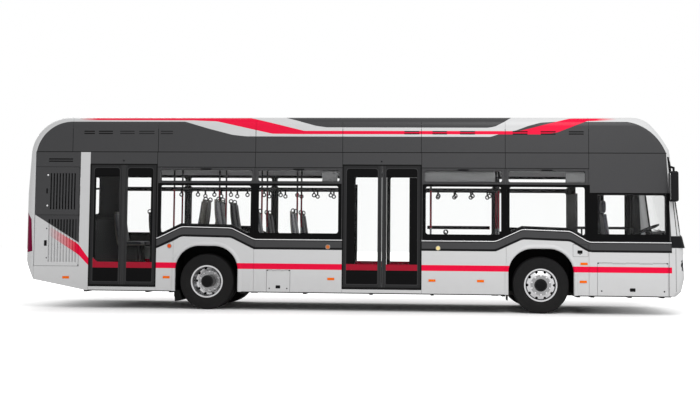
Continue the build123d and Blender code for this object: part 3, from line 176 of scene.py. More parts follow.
# Hanging straps: stations on the overhead rails, the rails' offset and level, and the level of the rings
STRAP_X = np.concatenate([np.arange(-3.30, -0.40, 0.32), np.arange(1.62, 2.80, 0.32)])
STRAP_Y, STRAP_RAIL_Z, STRAP_RING_Z = 0.34, 2.240, 2.126

# Paired vent slots in the roof side: rear end, front end
ROOF_SLOTS = (
    (-4.922, -4.723),
    (-4.649, -4.384),
    (0.989, 1.260),
    (1.495, 1.756),
    (1.990, 2.259),
    (2.930, 3.197),
    (3.429, 3.695),
    (3.926, 4.191),
)

# Vent slots that are closed and painted over
CLOSED_SLOTS = ((-4.249, -3.976), (-3.890, -3.603), (-3.489, -3.260))
SLOT_LEVELS = (3.249, 3.209)

# Joints between the roof's side panels
ROOF_SEAMS = (-5.132, -3.527, -1.720, -0.128, 1.296, 2.798, 4.277)

ROOF_SEAM_TOP = 3.300

# Joints of the nose and of the left side by the engine: rear edge, front edge, foot, head
NOSE_JOINT, TAIL_JOINT = (5.782, 5.788, 0.420, 1.180), (-5.815, -4.989, 1.690, 1.710)

# Run of the strip along the cantrail, and runs of the one under the skirt: rear end, front end
CANTRAIL_RUN = (-5.815, 5.640)
SKIRT_RUNS = ((-4.79, -3.18), (-2.02, 2.85), (4.01, 5.70))

# Small pane behind the last bay on the left: rear edge, front edge, lower edge
REAR_SIDE_PANE = (-5.745, -5.368, 1.730)

# Louvred fields of the engine's side lids: body, rear edge, front edge, foot, head
LOUVRES = (
    ("radiator_hatch", -5.538, -5.036, 1.802, 2.471),
    ("engine_side_hatch", -5.557, -5.036, 0.840, 1.620),
)
LOUVRE_PITCH, LOUVRE_WIDTH = 0.056, 0.024

# Lower edge of the charcoal on the engine's side lids: two stations, their heights, and its fall per metre
HATCH_X, HATCH_Z = (-5.82, -4.985), (1.704, 1.194)
HATCH_FALL = 0.6108

# Covers of the air ducts behind the hoppers: rear end, front end
DUCTS = ((1.36, 2.62), (3.87, 4.225), (-0.50, -0.22))

# Small domes over the doorways: stations by side, and their level
DOOR_EYES = {-1: (0.582, -4.167), 1: (0.590, 4.900)}
DOOR_EYE_Z = 2.706

# Round lamps on the flank: x, z, lens colour
ROUND_LAMPS = (
    (-3.289, 1.148, (0.72, 0.085, 0.012)),
    (-0.383, 1.155, (0.55, 0.150, 0.035)),
    (1.602, 1.150, (0.86, 0.70, 0.30)),
)

# Small catches on lids: body, x, z, half length, half height
CATCHES = (
    ("service_flap", -1.282, 0.427, 0.042, 0.028),
    ("cab_flap", 5.030, 0.444, 0.048, 0.030),
    ("engine_side_hatch", -5.606, 1.181, 0.026, 0.052),
    ("radiator_hatch", -5.599, 2.142, 0.014, 0.048),
    ("body", 4.114, 1.104, 0.044, 0.030),
)

# Small round locks on lids: body, x, z, radius
LOCKS = (
    ("radiator_hatch", -5.585, 2.436, 0.016),
    ("radiator_hatch", -5.588, 1.871, 0.016),
    ("engine_side_hatch", -5.588, 1.449, 0.012),
    ("engine_side_hatch", -5.582, 0.910, 0.012),
    ("service_flap", -1.440, 0.400, 0.012),
    ("service_flap", -1.120, 0.400, 0.012),
    ("cab_flap", 4.490, 0.420, 0.014),
    ("cab_flap", 5.580, 0.420, 0.014),
    ("body", 4.114, 1.062, 0.010),
)

# Blank plates: half width, height; level of the rear one's middle, and foot and face of the front one
PLATE_HALF, PLATE_H = 0.26, 0.112
REAR_PLATE_Z = 1.548
FRONT_PLATE_Z, FRONT_PLATE_X = 0.50, 5.984

# Bands of the livery: stations and heights of the lower line, then of the upper line
SIDE_STRIPE = (
    [(-6, 1.33), (-5.55, 1.33), (-4.984, 0.975), (-4.803, 0.792), (-4.745, STRIPE_LOW), (6, STRIPE_LOW)],
    [(-6, 1.52), (-5.60, 1.52), (-4.988, 1.170), (-4.806, 0.931), (-4.735, STRIPE_HIGH), (6, STRIPE_HIGH)],
)
ROOF_STRIPE = (
    [(-6, 3.462), (-2.9, 3.455), (-2.45, 3.435), (-1.422, 3.207), (-0.9, 3.2)]
    + [(3.45, 3.2), (3.72, 3.235), (4.25, 3.442), (4.705, 3.462), (6, 3.462)],
    [(-6, 3.505), (-1.83, 3.507), (-0.834, 3.263), (3.05, 3.262), (3.96, 3.499), (6, 3.505)],
)
ROOF_BAND = (
    [(-6, 3.431), (-3.038, 3.429), (-2.6, 3.30), (-2.15, 3.185), (-1.9, 3.158), (2.537, 3.155)]
    + [(2.805, 3.241), (2.984, 3.268), (3.2, 3.35), (3.43, 3.414), (3.7, 3.431), (6, 3.431)],
    [(-6, 3.6), (-1.42, 3.6), (-1.13, 3.495), (-0.62, 3.355), (-0.42, 3.327)]
    + [(2.50, 3.322), (2.62, 3.345), (2.806, 3.441), (3.05, 3.6), (6, 3.6)],
)
SIDE_RANGE, ROOF_RANGE = (0.6, 1.6), (3.1, 3.6)
SIDE_SHARP, ROOF_SHARP = 330.0, 170.0
SIDE_STRIPE_FADE, SIDE_STRIPE_END = (-5.56, -5.02), 5.716
ROOF_STRIPE_REAR, ROOF_STRIPE_FRONT = (-5.05, -4.70), (4.78, 4.42)

# Ends of the bands and panels: offsets of the flank, roof side and inside, and edges of the engine's lids
FLANK_Y, ROOF_SIDE_Y, INSIDE_Y = 1.2, 0.98, 1.242
HATCH_TOP, HATCH_FRONT = 2.7, -4.98

# Dark marks on the bare silver ends: level, half height, half width
# The intake slots are painted shade: dark bands on the flat nose in place of openings
INTAKES = ((0.774, 0.021, 0.62), (0.718, 0.021, 0.62))
BUMPER_SEAM, LID_GRIP = (0.660, 0.004, 1.10), (0.945, 0.017, 0.11)
NOSE_FROM, TAIL_FROM = 5.5, -5.99

# Colours that more than one finish uses
SLOT_BLACK = (0.010, 0.010, 0.0105)
CHASSIS_BLACK = (0.018, 0.018, 0.019)
LINING_BLACK = (0.020, 0.020, 0.021)
LINING_GREY = (0.42, 0.42, 0.43)
FLOOR_GREY = (0.10, 0.104, 0.11)
RAIL_RED = (0.19, 0.010, 0.022)
PLATE_WHITE = (0.86, 0.86, 0.82)
DUST = (0.17, 0.155, 0.135)
CLEAR = (0.985, 0.99, 0.988)
WHITE = (1.0, 1.0, 1.0)

# Level at which the lining changes from dark to grey
LINING_EDGE = 2.59

# Plain finishes: colour, roughness, metallic, grain scale, grain depth, bump, specular level
PLAIN_FINISHES = {
    "printed_black": ((0.0035, 0.0035, 0.0038), 0.12, 0.0, 60.0, 0.10, 0.0, 0.05),
    "centre_rubber": ((0.036, 0.036, 0.037), 0.62, 0.0, 300.0, 0.20, 0.10, 0.10),
    "black_rubber": ((0.008, 0.008, 0.008), 0.68, 0.0, 220.0, 0.30, 0.15, 0.05),
    "black_panel": ((0.0042, 0.0042, 0.0045), 0.22, 0.0, 80.0, 0.15, 0.0, 0.05),
    "cowl_black": ((0.012, 0.012, 0.013), 0.30, 0.0, 90.0, 0.15, 0.0, 0.05),
    "matt_black": ((0.009, 0.009, 0.0095), 0.60, 0.0, 260.0, 0.25, 0.08, 0.05),
    "bright_trim": ((0.80, 0.80, 0.81), 0.22, 0.85, 300.0, 0.08, 0.0, 0.20),
    "dull_metal": ((0.30, 0.29, 0.27), 0.40, 0.80, 300.0, 0.10, 0.0, 0.20),
    "hopper_paint": ((0.046, 0.046, 0.048), 0.40, 0.0, 600.0, 0.10, 0.02, 0.20),
    "engine_casting": ((0.16, 0.16, 0.165), 0.55, 0.70, 160.0, 0.40, 0.30, 0.20),
    "duct_plastic": ((0.105, 0.105, 0.107), 0.60, 0.0, 340.0, 0.12, 0.04, 0.05),
    "dash_plastic": ((0.020, 0.020, 0.021), 0.62, 0.0, 700.0, 0.25, 0.15, 0.20),
    "seat_shell": ((0.085, 0.080, 0.068), 0.48, 0.0, 600.0, 0.15, 0.08, 0.20),
    "mirror_silver": ((0.86, 0.87, 0.88), 0.03, 1.0, 20.0, 0.02, 0.0, 0.20),
    "reflector": ((0.80, 0.81, 0.83), 0.10, 1.0, 120.0, 0.10, 0.05, 0.20),
    "blank_plate": (PLATE_WHITE, 0.35, 0.0, 200.0, 0.06, 0.02, 0.20),
    "post_enamel": ((0.030, 0.030, 0.031), 0.34, 0.0, 300.0, 0.10, 0.0, 0.20),
}

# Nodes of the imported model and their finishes
NODE_FINISHES = {
    "silver_paint": (
        "skirt_panels",
        "roof_cover",
        "windscreen_surround",
        "engine_side_hatch",
        "service_flap",
        "cab_flap",
    ),
    "bare_silver_paint": ("front_mask", "rear_panel", "engine_lid"),
    "charcoal_paint": ("side_wall_right", "side_wall_left", "roof_fairings", "radiator_hatch"),
    "window_glass": ("windows",),
    "screen_glass": ("windscreen",),
    "lamp_glass": ("headlamps",),
    "tail_lens": ("tail_lamps",),
    "amber_lens": ("side_lamps",),
    "cowl_black": ("cowl", "mirrors"),
    "chassis_paint": ("underframe", "front_axle", "rear_axle", "knuckle_right", "knuckle_left"),
    "matt_black": ("wheel_boxes",),
    "engine_casting": ("engine_block",),
    "saloon_vinyl": ("saloon_floor",),
    "lining_plastic": ("inner_panels",),
    "rail_enamel": ("grab_rails",),
    "dash_plastic": ("dashboard", "steering_wheel"),
    "rim_front_metal": ("rim_front_right", "rim_front_left"),
    "rim_rear_metal": ("rim_rear_right", "rim_rear_left"),
    "post_enamel": tuple(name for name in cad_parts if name.startswith("door_post")),
}


class BusPaint(bpy.types.PropertyGroup):
    """Colours of the bus."""

    silver: bpy.props.FloatVectorProperty(
        name="Silver",
        description="Lower panels and roof edge",
        subtype="COLOR",
        default=(0.570, 0.572, 0.576),
    )
    charcoal: bpy.props.FloatVectorProperty(
        name="Charcoal",
        description="Window walls and roof sides",
        subtype="COLOR",
        default=(0.048, 0.048, 0.050),
    )
    red: bpy.props.FloatVectorProperty(
        name="Stripe",
        description="Stripe along the flank and roof",
        subtype="COLOR",
        default=(0.760, 0.0, 0.040),
    )
    door: bpy.props.FloatVectorProperty(
        name="Door frame",
        description="Frames of the door leaves",
        subtype="COLOR",
        default=(0.020, 0.020, 0.021),
    )
    amber: bpy.props.FloatVectorProperty(
        name="Amber",
        description="Side marker lenses",
        subtype="COLOR",
        default=(0.90, 0.150, 0.0),
    )
    lamp: bpy.props.FloatVectorProperty(
        name="Tail lamp",
        description="Tail lamp lenses",
        subtype="COLOR",
        default=(0.135, 0.0, 0.024),
    )
    fabric: bpy.props.FloatVectorProperty(
        name="Seat fabric",
        description="Seat covers",
        subtype="COLOR",
        default=(0.030, 0.031, 0.038),
    )


class BusTrim(bpy.types.PropertyGroup):
    """Sizes of the trim."""

    border: bpy.props.FloatProperty(
        name="Window border",
        description="Width of the dark printed edge",
        unit="LENGTH",
        default=0.062,
    )
    border_foot: bpy.props.FloatProperty(
        name="Lower border",
        description="Height of the dark edge at the foot of a pane",
        unit="LENGTH",
        default=0.100,
    )
    border_top: bpy.props.FloatProperty(
        name="Upper border",
        description="Width of the dark edge below a hopper",
        unit="LENGTH",
        default=0.040,
    )
    arch_lip: bpy.props.FloatProperty(
        name="Arch lip",
        description="Width of the moulding round a wheel arch",
        unit="LENGTH",
        default=0.070,
    )
    bead: bpy.props.FloatProperty(
        name="Belt bead",
        description="Height of the bright bead on the belt",
        unit="LENGTH",
        default=0.016,
    )


# Shapes


def grid_quads(rows, cols, wrap_rows=False, wrap_cols=False):
    """Quads of a rows-by-cols grid numbered row by row; a wrapped side joins its last line to its first."""
    i, j = np.meshgrid(
        np.arange(rows if wrap_rows else rows - 1), np.arange(cols if wrap_cols else cols - 1), indexing="ij"
    )
    i2, j2 = (i + 1) % rows, (j + 1) % cols
    return np.stack([i * cols + j, i * cols + j2, i2 * cols + j2, i2 * cols + j], -1).reshape(-1, 4)


def stack_faces(rows, cols):
    """Faces of closed sections stacked in rows, with a cap on the first and on the last."""
    return [
        grid_quads(rows, cols, wrap_cols=True),
        np.arange(cols)[None],
        np.arange((rows - 1) * cols, rows * cols)[None],
    ]


def rectangle(a0, a1, z0, z1):
    """Corners of an upright rectangle."""
    return np.array([[a0, z0], [a1, z0], [a1, z1], [a0, z1]])


def rounded(points, radius, steps=4):
    """Closed outline, each corner P eased by (1-s)^2 A + 2s(1-s) P + s^2 B with A and B on its two edges."""
    p = np.asarray(points, float)
    radius = np.broadcast_to(np.asarray(radius, float), (len(p),))[:, None]
    back, ahead = np.roll(p, 1, 0) - p, np.roll(p, -1, 0) - p

    def way(edge):
        """Way from a corner along an edge: the radius, but always less than half the edge."""
        length = np.linalg.norm(edge, axis=1, keepdims=True)
        return edge / length * np.minimum(radius, 0.48 * length)

    a, b = p + way(back), p + way(ahead)
    s = np.linspace(0, 1, steps)[None, :, None]
    curve = (1 - s) ** 2 * a[:, None] + 2 * s * (1 - s) * p[:, None] + s**2 * b[:, None]
    return curve.reshape(-1, 2)


def drawn_in(points, by):
    """Outline moved inwards: each edge is shifted along its left normal and neighbouring edges meet again."""
    p = np.asarray(points, float)
    edge = np.roll(p, -1, 0) - p
    n = np.stack([-edge[:, 1], edge[:, 0]], 1) / np.linalg.norm(edge, axis=1, keepdims=True)
    c = (n * p).sum(1) + np.broadcast_to(np.asarray(by, float), (len(p),))
    m, d = np.roll(n, 1, 0), np.roll(c, 1, 0)
    det = m[:, 0] * n[:, 1] - n[:, 0] * m[:, 1]
    return np.stack([(d * n[:, 1] - c * m[:, 1]) / det, (m[:, 0] * c - n[:, 0] * d) / det], 1)


def flank(side):
    """Placing function of a flank: an outline in X and Z, set at a depth below the outer face."""

    def place(loop, depth):
        """Points of the outline at that depth."""
        return np.column_stack([loop[:, 0], np.full(len(loop), side * (HALF - depth)), loop[:, 1]])

    return place


RIGHT_FLANK = flank(-1)


def on_end(loop, x):
    """Outline in Y and Z set on a plane across the bus."""
    return np.column_stack([np.full(len(loop), x), loop[:, 0], loop[:, 1]])


def slab(front, back):
    """Closed plate between two outlines with the same points."""
    return np.concatenate([front, back]), stack_faces(2, len(front))


def hoop(loops):
    """Closed ring through several outlines with the same points, taken in turn and back to the first."""
    return np.concatenate(loops), [grid_quads(len(loops), len(loops[0]), True, True)]


def plate(place, loop, face, back):
    """Closed plate: one outline, placed at two depths."""
    return slab(place(loop, face), place(loop, back))


def edging(place, outer, inner, face, back, inner_face=None):
    """Closed frame between two outlines placed at two depths; its inner edge may have a face of its own."""
    near = face if inner_face is None else inner_face
    return hoop([place(outer, face), place(inner, near), place(inner, back), place(outer, back)])


def sweep(path, section, across):
    """Section carried along a path: point = path + a * across + b * rise, at right angles to the path."""
    path, section = np.asarray(path, float), np.asarray(section, float)
    along = np.gradient(path, axis=0)
    along /= np.linalg.norm(along, axis=1, keepdims=True)
    across = np.broadcast_to(np.asarray(across, float), path.shape)
    rise = np.cross(along, across)
    rise /= np.linalg.norm(rise, axis=1, keepdims=True)
    flat = np.cross(rise, along)
    v = path[:, None] + section[None, :, :1] * flat[:, None] + section[None, :, 1:] * rise[:, None]
    return v.reshape(-1, 3), stack_faces(len(path), len(section))


def tube(path, radius, across, sides=8):
    """Round bar along a path."""
    a = np.linspace(0, 2 * np.pi, sides, endpoint=False)
    return sweep(path, radius * np.column_stack([np.cos(a), np.sin(a)]), across)


def lathe(profile, centre, axis, turns=40, closed=True):
    """Profile of radius r and height h turned about an axis: centre + h axis + r (cos a, sin a) across it."""
    profile, axis = np.asarray(profile, float), np.asarray(axis, float)
    u = np.cross(axis, X_AXIS if abs(axis[0]) < 0.9 else Y_AXIS)
    u /= np.linalg.norm(u)
    w = np.cross(axis, u)
    a = np.linspace(0, 2 * np.pi, turns, endpoint=False)[:, None, None]
    r, h = profile[None, :, :1], profile[None, :, 1:]
    v = np.asarray(centre, float) + h * axis + r * (np.cos(a) * u + np.sin(a) * w)
    n, m = turns, len(profile)
    faces = [grid_quads(n, m, True, closed)]
    if not closed:
        faces += [np.arange(0, n * m, m)[None], np.arange(m - 1, n * m, m)[None]]
    return v.reshape(-1, 3), faces


def turned(profile, centre, axis, turns=18):
    """Solid turned from a profile, capped at its first and last point; the axis keeps a hair's radius."""
    hair = 0.0001
    profile = np.asarray(profile, float)
    profile = np.column_stack([np.maximum(profile[:, 0], hair), profile[:, 1]])
    return lathe(profile, centre, axis, turns, False)


def power(t, exponent):
    """Power that keeps the sign."""
    return np.sign(t) * np.abs(t) ** exponent


def pad(centre, size, square=0.35, crown=0.55, rows=16, cols=32):
    """Crowned cushion: x = a C(v) C(u), y = b C(v) S(u), z = c S(v), C and S being cos and sin to a power."""
    u = np.linspace(0, 2 * np.pi, cols, endpoint=False)[None, :]
    v = np.linspace(-np.pi / 2, np.pi / 2, rows)[:, None]
    x = power(np.cos(v), crown) * power(np.cos(u), square)
    y = power(np.cos(v), crown) * power(np.sin(u), square)
    z = power(np.sin(v), crown) * np.ones_like(u)
    half = np.asarray(size, float) / 2
    p = np.stack([x, y, z], -1).reshape(-1, 3) * half + np.asarray(centre, float)
    return p, [grid_quads(rows, cols, wrap_cols=True)]


def seat_back(width, thick, set_back, low, high, rows=18, cols=28):
    """Leaning panel: rounded sections stacked from foot to head, narrowing at the head, hollowed across."""
    s = np.linspace(0, 1, rows)[:, None]
    a = np.linspace(0, 2 * np.pi, cols, endpoint=False)[None, :]
    w = width * (1 - 0.22 * s**5) * np.minimum(1, 0.86 + 4 * s)
    hollow = 0.018 * np.cos(a) ** 2 * np.sin(np.pi * s)
    x = -set_back - 0.080 * s + thick * power(np.sin(a), 0.7) - hollow
    z = low + (high - low) * s * np.ones_like(a)
    v = np.stack([x, w * power(np.cos(a), 0.45), z], -1).reshape(-1, 3)
    return v, stack_faces(rows, cols)


def moved(part, offset, facing=1):
    """Copy of a shape, mirrored end for end where it faces rearward, and set in its place."""
    v, f = part
    return v * np.array([facing, 1, 1]) + np.asarray(offset, float), f


def piece(name, parts, material, body="body", angle=35.0, replaces=()):
    """One object from closed shells, its doubles merged and its faces turned outwards, riding on a body."""
    start, faces = 0, []
    for v, polygons in parts:
        for polygon in polygons:
            faces += (polygon + start).tolist()
        start += len(v)
    mesh = bpy.data.meshes.new(name)
    mesh.from_pydata(np.concatenate([v for v, _ in parts]), [], faces)
    shell = bmesh.new()
    shell.from_mesh(mesh)
    bmesh.ops.remove_doubles(shell, verts=shell.verts, dist=1e-5)
    bmesh.ops.recalc_face_normals(shell, faces=shell.faces)
    shell.to_mesh(mesh)
    shell.free()
    mesh.polygons.foreach_set("use_smooth", np.ones(len(mesh.polygons), bool))
    mesh.set_sharp_from_angle(angle=math.radians(angle))
    mesh.materials.append(bpy.data.materials[material])
    obj = bpy.data.objects.new(name, mesh)
    bpy.context.scene.collection.objects.link(obj)
    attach(obj, body)
    if replaces:
        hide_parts(*replaces)
    return obj


def belt_rise(x):
    """Height of the belt line above its level."""
    return np.interp(x, BELT_X, BELT_RISE)


def belt_path(side, x0, x1, level):
    """Belt line as a path, its corners eased by averaging over 90 mm."""
    x = np.linspace(x0, x1, max(4, int((x1 - x0) / 0.03)))
    z = np.mean([belt_rise(np.clip(x + d, x0, x1)) for d in np.linspace(-0.045, 0.045, 7)], axis=0)
    return np.column_stack([x, np.full(len(x), side * HALF), level + z])


def nose_front(y, z, inset=0.0):
    """Outer face of the raked nose: a bowed plan, an arc through three points at its corner, leaning back."""
    y = np.abs(np.asarray(y, float))
    lean = NOSE_X - NOSE_LEAN * (np.asarray(z, float) - NOSE_Z) - inset
    half = HALF - inset
    corner, sag = half - NOSE_CORNER, NOSE_SAG
    bow = (corner**2 + sag**2) / (2 * sag)
    flat = -(bow - np.sqrt(np.maximum(bow**2 - np.minimum(y, corner) ** 2, 0)))
    x0, y0, x1, y1, x2, y2 = -sag, corner, -0.0703, corner + 0.0949, -0.160, half
    d = 2 * (x0 * (y1 - y2) + x1 * (y2 - y0) + x2 * (y0 - y1))
    q0, q1, q2 = x0**2 + y0**2, x1**2 + y1**2, x2**2 + y2**2
    cx = (q0 * (y1 - y2) + q1 * (y2 - y0) + q2 * (y0 - y1)) / d
    cy = (q0 * (x2 - x1) + q1 * (x0 - x2) + q2 * (x1 - x0)) / d
    turn = cx + np.sqrt(np.maximum((x0 - cx) ** 2 + (y0 - cy) ** 2 - (np.minimum(y, half) - cy) ** 2, 0))
    return lean + np.where(y > corner, turn, flat)


def on_screen(loop, inset):
    """Outline in Y and Z laid on the raked nose, at a depth below its face."""
    return np.column_stack([nose_front(loop[:, 0], loop[:, 1], inset), loop[:, 0], loop[:, 1]])


def on_tail(loop, depth):
    """Outline in Y and Z laid on the tail, which leans forward above the rear window's middle."""
    lean = np.clip(loop[:, 1] - 2.1, 0, None) * 0.043 / 0.77
    return np.column_stack([REAR + lean + depth, loop[:, 0], loop[:, 1]])


def eased_rectangle(a0, a1, z0, z1, radius):
    """Rectangle with 24 points to a side, those near a corner drawn in onto its round."""
    p = rectangle(a0, a1, z0, z1)
    k = np.linspace(0, 1, 24, endpoint=False)[:, None]
    q = np.concatenate([a + k * (b - a) for a, b in zip(p, np.roll(p, -1, 0))])
    centre = (p.max(0) + p.min(0)) / 2
    half = (p.max(0) - p.min(0)) / 2
    d = q - centre
    over = np.maximum(np.abs(d) - (half - radius), 0)
    length = np.maximum(np.linalg.norm(over, axis=1, keepdims=True), 1e-9)
    inside = np.minimum(np.abs(d), half - radius)
    return centre + np.sign(d) * (inside + over * np.minimum(1, radius / length))


def bay_loop(x0, x1, lift, foot, high, radius):
    """Outline of a bay: its foot is level, or follows the belt line where that rises higher."""
    x = np.linspace(x0 + radius, x1 - radius, 60)
    low = np.column_stack([x, GLASS_LOW + np.maximum(belt_rise(x) + lift, foot)])
    a = np.linspace(0, np.pi / 2, 6)[:, None]

    def turn(cx, cz, start):
        """Quarter round about a centre."""
        return np.column_stack([cx + radius * np.cos(a + start), cz + radius * np.sin(a + start)])

    right = turn(x1 - radius, low[-1, 1] + radius, -np.pi / 2)
    left = turn(x0 + radius, low[0, 1] + radius, np.pi)
    head = [turn(x1 - radius, high - radius, 0.0), turn(x0 + radius, high - radius, np.pi / 2)]
    return np.concatenate([low[1:-1], right, *head, left])


def arch_path(x, side, grow):
    """Wheel arch outline as a path: upright legs joined by two quarter rounds and a level top."""
    half, top, r = ARCH_HALF + grow, ARCH_TOP + grow, ARCH_R + grow
    a = np.linspace(np.pi, np.pi / 2, 16)
    left = np.column_stack([x - half + r + r * np.cos(a), top - r + r * np.sin(a)])
    right = np.column_stack([2 * x - left[::-1, 0], left[::-1, 1]])
    z = np.linspace(SKIRT_LOW + 0.002, top - r, 10)[:-1]
    legs = np.column_stack([np.full(len(z), x - half), z])
    other = np.column_stack([np.full(len(z), x + half), z[::-1]])
    line = np.concatenate([legs, left, right, other])
    return np.column_stack([line[:, 0], np.full(len(line), side * HALF), line[:, 1]])


# Shading


class Tree:
    """Short way to lay out shader nodes."""

    def __init__(self, tree):
        self.tree = tree

    def add(self, kind, **inputs):
        """Node with its inputs set or linked by name."""
        node = self.tree.nodes.new(kind)
        for name, value in inputs.items():
            self.feed(node.inputs[name.replace("_", " ")], value)
        return node

    def feed(self, socket, value):
        """Link a socket to another, or set its value."""
        if isinstance(value, bpy.types.NodeSocket):
            self.tree.links.new(value, socket)
        else:
            socket.default_value = value

    def math(self, operation, a, b=None, clamp=False):
        """Math node's result."""
        node = self.tree.nodes.new("ShaderNodeMath")
        node.operation, node.use_clamp = operation, clamp
        self.feed(node.inputs[0], a)
        if b is not None:
            self.feed(node.inputs[1], b)
        return node.outputs[0]

    def product(self, first, *others):
        """Masks multiplied together."""
        for other in others:
            first = self.math("MULTIPLY", first, other)
        return first

    def mix(self, factor, a, b, blend="MIX"):
        """Colour mixed from a to b."""
        node = self.tree.nodes.new("ShaderNodeMix")
        node.data_type, node.blend_type = "RGBA", blend
        self.feed(node.inputs[0], factor)
        self.feed(node.inputs[6], a)
        self.feed(node.inputs[7], b)
        return node.outputs[2]

    def ramp(self, value, low, high, to_low=0.0, to_high=1.0):
        """Value carried from one range to another, clamped."""
        node = self.tree.nodes.new("ShaderNodeMapRange")
        for socket, v in zip(node.inputs, (value, low, high, to_low, to_high)):
            self.feed(socket, v)
        return node.outputs[0]

    def curve(self, value, points):
        """Straight-line curve through points from 0 to 1."""
        node = self.tree.nodes.new("ShaderNodeFloatCurve")
        line = node.mapping.curves[0]
        line.points[0].location, line.points[1].location = points[0], points[-1]
        for point in points[1:-1]:
            line.points.new(*point)
        for point in line.points:
            point.handle_type = "VECTOR"
        node.mapping.update()
        self.feed(node.inputs["Value"], value)
        return node.outputs[0]

    def between(self, value, low, high, sharp):
        """Mask of the values between two others."""
        rise = self.math("MULTIPLY", self.math("SUBTRACT", value, low), sharp, True)
        fall = self.math("MULTIPLY", self.math("SUBTRACT", high, value), sharp, True)
        return self.math("MULTIPLY", rise, fall)

    def near(self, value, at, reach):
        """Mask of the values within reach of another."""
        return self.math("LESS_THAN", self.math("ABSOLUTE", self.math("SUBTRACT", value, at)), reach)

    def axes(self, vector):
        """The three parts of a vector."""
        return self.add("ShaderNodeSeparateXYZ", Vector=vector).outputs


def colour(rgb):
    """Colour with its alpha."""
    return (*rgb, 1.0)


def node_group(name, inputs, outputs):
    """Empty shader group with named sockets; gives its tree, its inputs and its output node."""
    tree = bpy.data.node_groups.new(name, "ShaderNodeTree")
    for label, kind, default in inputs:
        socket = tree.interface.new_socket(label, in_out="INPUT", socket_type=kind)
        if default is not None:
            socket.default_value = default
    for label in outputs:
        tree.interface.new_socket(label, in_out="OUTPUT", socket_type="NodeSocketFloat")
    source, sink = tree.nodes.new("NodeGroupInput"), tree.nodes.new("NodeGroupOutput")
    return Tree(tree), source.outputs, sink.inputs


def livery_masks():
    """Masks of the stripes, bands and dark panels, each between two lines of stations and heights."""
    g, source, sink = node_group(
        "livery_masks",
        [("Vector", "NodeSocketVector", None)],
        ("Side Stripe", "Roof Stripe", "Roof Band", "Roof Panel", "Hatch", "Inside"),
    )
    x, y, z = g.axes(source["Vector"])
    y = g.math("ABSOLUTE", y)
    station = g.ramp(x, REAR, FRONT)

    def lines(band, low, high):
        """Lower and upper line of a band, its stations and heights brought to the range 0 to 1."""
        for line in band:
            points = [((at - REAR) / (FRONT - REAR), (height - low) / (high - low)) for at, height in line]
            yield g.curve(station, points)

    stripe = g.between(g.ramp(z, *SIDE_RANGE), *lines(SIDE_STRIPE, *SIDE_RANGE), SIDE_SHARP)
    ends = g.product(g.ramp(x, *SIDE_STRIPE_FADE), g.math("LESS_THAN", x, SIDE_STRIPE_END))
    g.feed(sink["Side Stripe"], g.product(stripe, ends, g.math("GREATER_THAN", y, FLANK_Y)))

    height = g.ramp(z, *ROOF_RANGE)
    stripe = g.between(height, *lines(ROOF_STRIPE, *ROOF_RANGE), ROOF_SHARP)
    ends = g.product(g.ramp(x, *ROOF_STRIPE_REAR), g.ramp(x, *ROOF_STRIPE_FRONT))
    g.feed(sink["Roof Stripe"], g.product(stripe, ends))
    low, high = lines(ROOF_BAND, *ROOF_RANGE)
    g.feed(sink["Roof Band"], g.between(height, low, high, ROOF_SHARP))
    panel = g.math("MULTIPLY", g.math("SUBTRACT", height, high), ROOF_SHARP, True)
    g.feed(sink["Roof Panel"], g.product(panel, g.math("GREATER_THAN", y, ROOF_SIDE_Y)))

    slope = g.ramp(x, *HATCH_X, *HATCH_Z)
    hatch = g.math("MULTIPLY", g.math("SUBTRACT", z, slope), SIDE_SHARP, True)
    below, behind = g.math("LESS_THAN", z, HATCH_TOP), g.math("LESS_THAN", x, HATCH_FRONT)
    g.feed(sink["Hatch"], g.product(hatch, below, behind))
    g.feed(sink["Inside"], g.math("LESS_THAN", y, INSIDE_Y))


def fine_unevenness():
    """Fine and broad noise together: a tone about 1, a change of roughness, and the height of a bump."""
    g, source, sink = node_group(
        "fine_unevenness",
        [
            ("Vector", "NodeSocketVector", None),
            ("Scale", "NodeSocketFloat", 40.0),
            ("Depth", "NodeSocketFloat", 0.1),
        ],
        ("Tone", "Rough", "Height"),
    )
    place = source["Vector"]
    fine = g.add("ShaderNodeTexNoise", Vector=place, Scale=source["Scale"], Detail=4.0).outputs["Fac"]
    broad = g.add("ShaderNodeTexNoise", Vector=place, Scale=1.3, Detail=3.0).outputs["Fac"]
    both = g.math("ADD", g.math("MULTIPLY", fine, 0.4), g.math("MULTIPLY", broad, 0.6))
    swing = g.math("MULTIPLY", g.math("SUBTRACT", both, 0.5), source["Depth"])
    g.feed(sink["Tone"], g.math("ADD", swing, 1.0))
    g.feed(sink["Rough"], g.math("MULTIPLY", swing, 0.6))
    g.feed(sink["Height"], fine)


def road_dust():
    """Patchy dust that thickens from a level down to the ground."""
    g, source, sink = node_group(
        "road_dust",
        [
            ("Vector", "NodeSocketVector", None),
            ("Top", "NodeSocketFloat", 0.9),
            ("Amount", "NodeSocketFloat", 0.3),
        ],
        ("Dust",),
    )
    place = source["Vector"]
    patch = g.add("ShaderNodeTexNoise", Vector=place, Scale=6.0, Detail=6.0).outputs["Fac"]
    low = g.ramp(g.axes(place)[2], source["Top"], 0.15)
    g.feed(sink["Dust"], g.math("MULTIPLY", g.math("MULTIPLY", low, patch), source["Amount"], True))


def use_group(t, name, **inputs):
    """Outputs of a shared effect placed in a material."""
    node = t.tree.nodes.new("ShaderNodeGroup")
    node.node_tree = bpy.data.node_groups[name]
    for label, value in inputs.items():
        t.feed(node.inputs[label], value)
    return node.outputs


def repaint(t, base):
    """Colour of a finish, under its fine unevenness."""
    t.feed(t.shader.inputs["Base Color"], t.mix(1.0, base, t.tone, "MULTIPLY"))


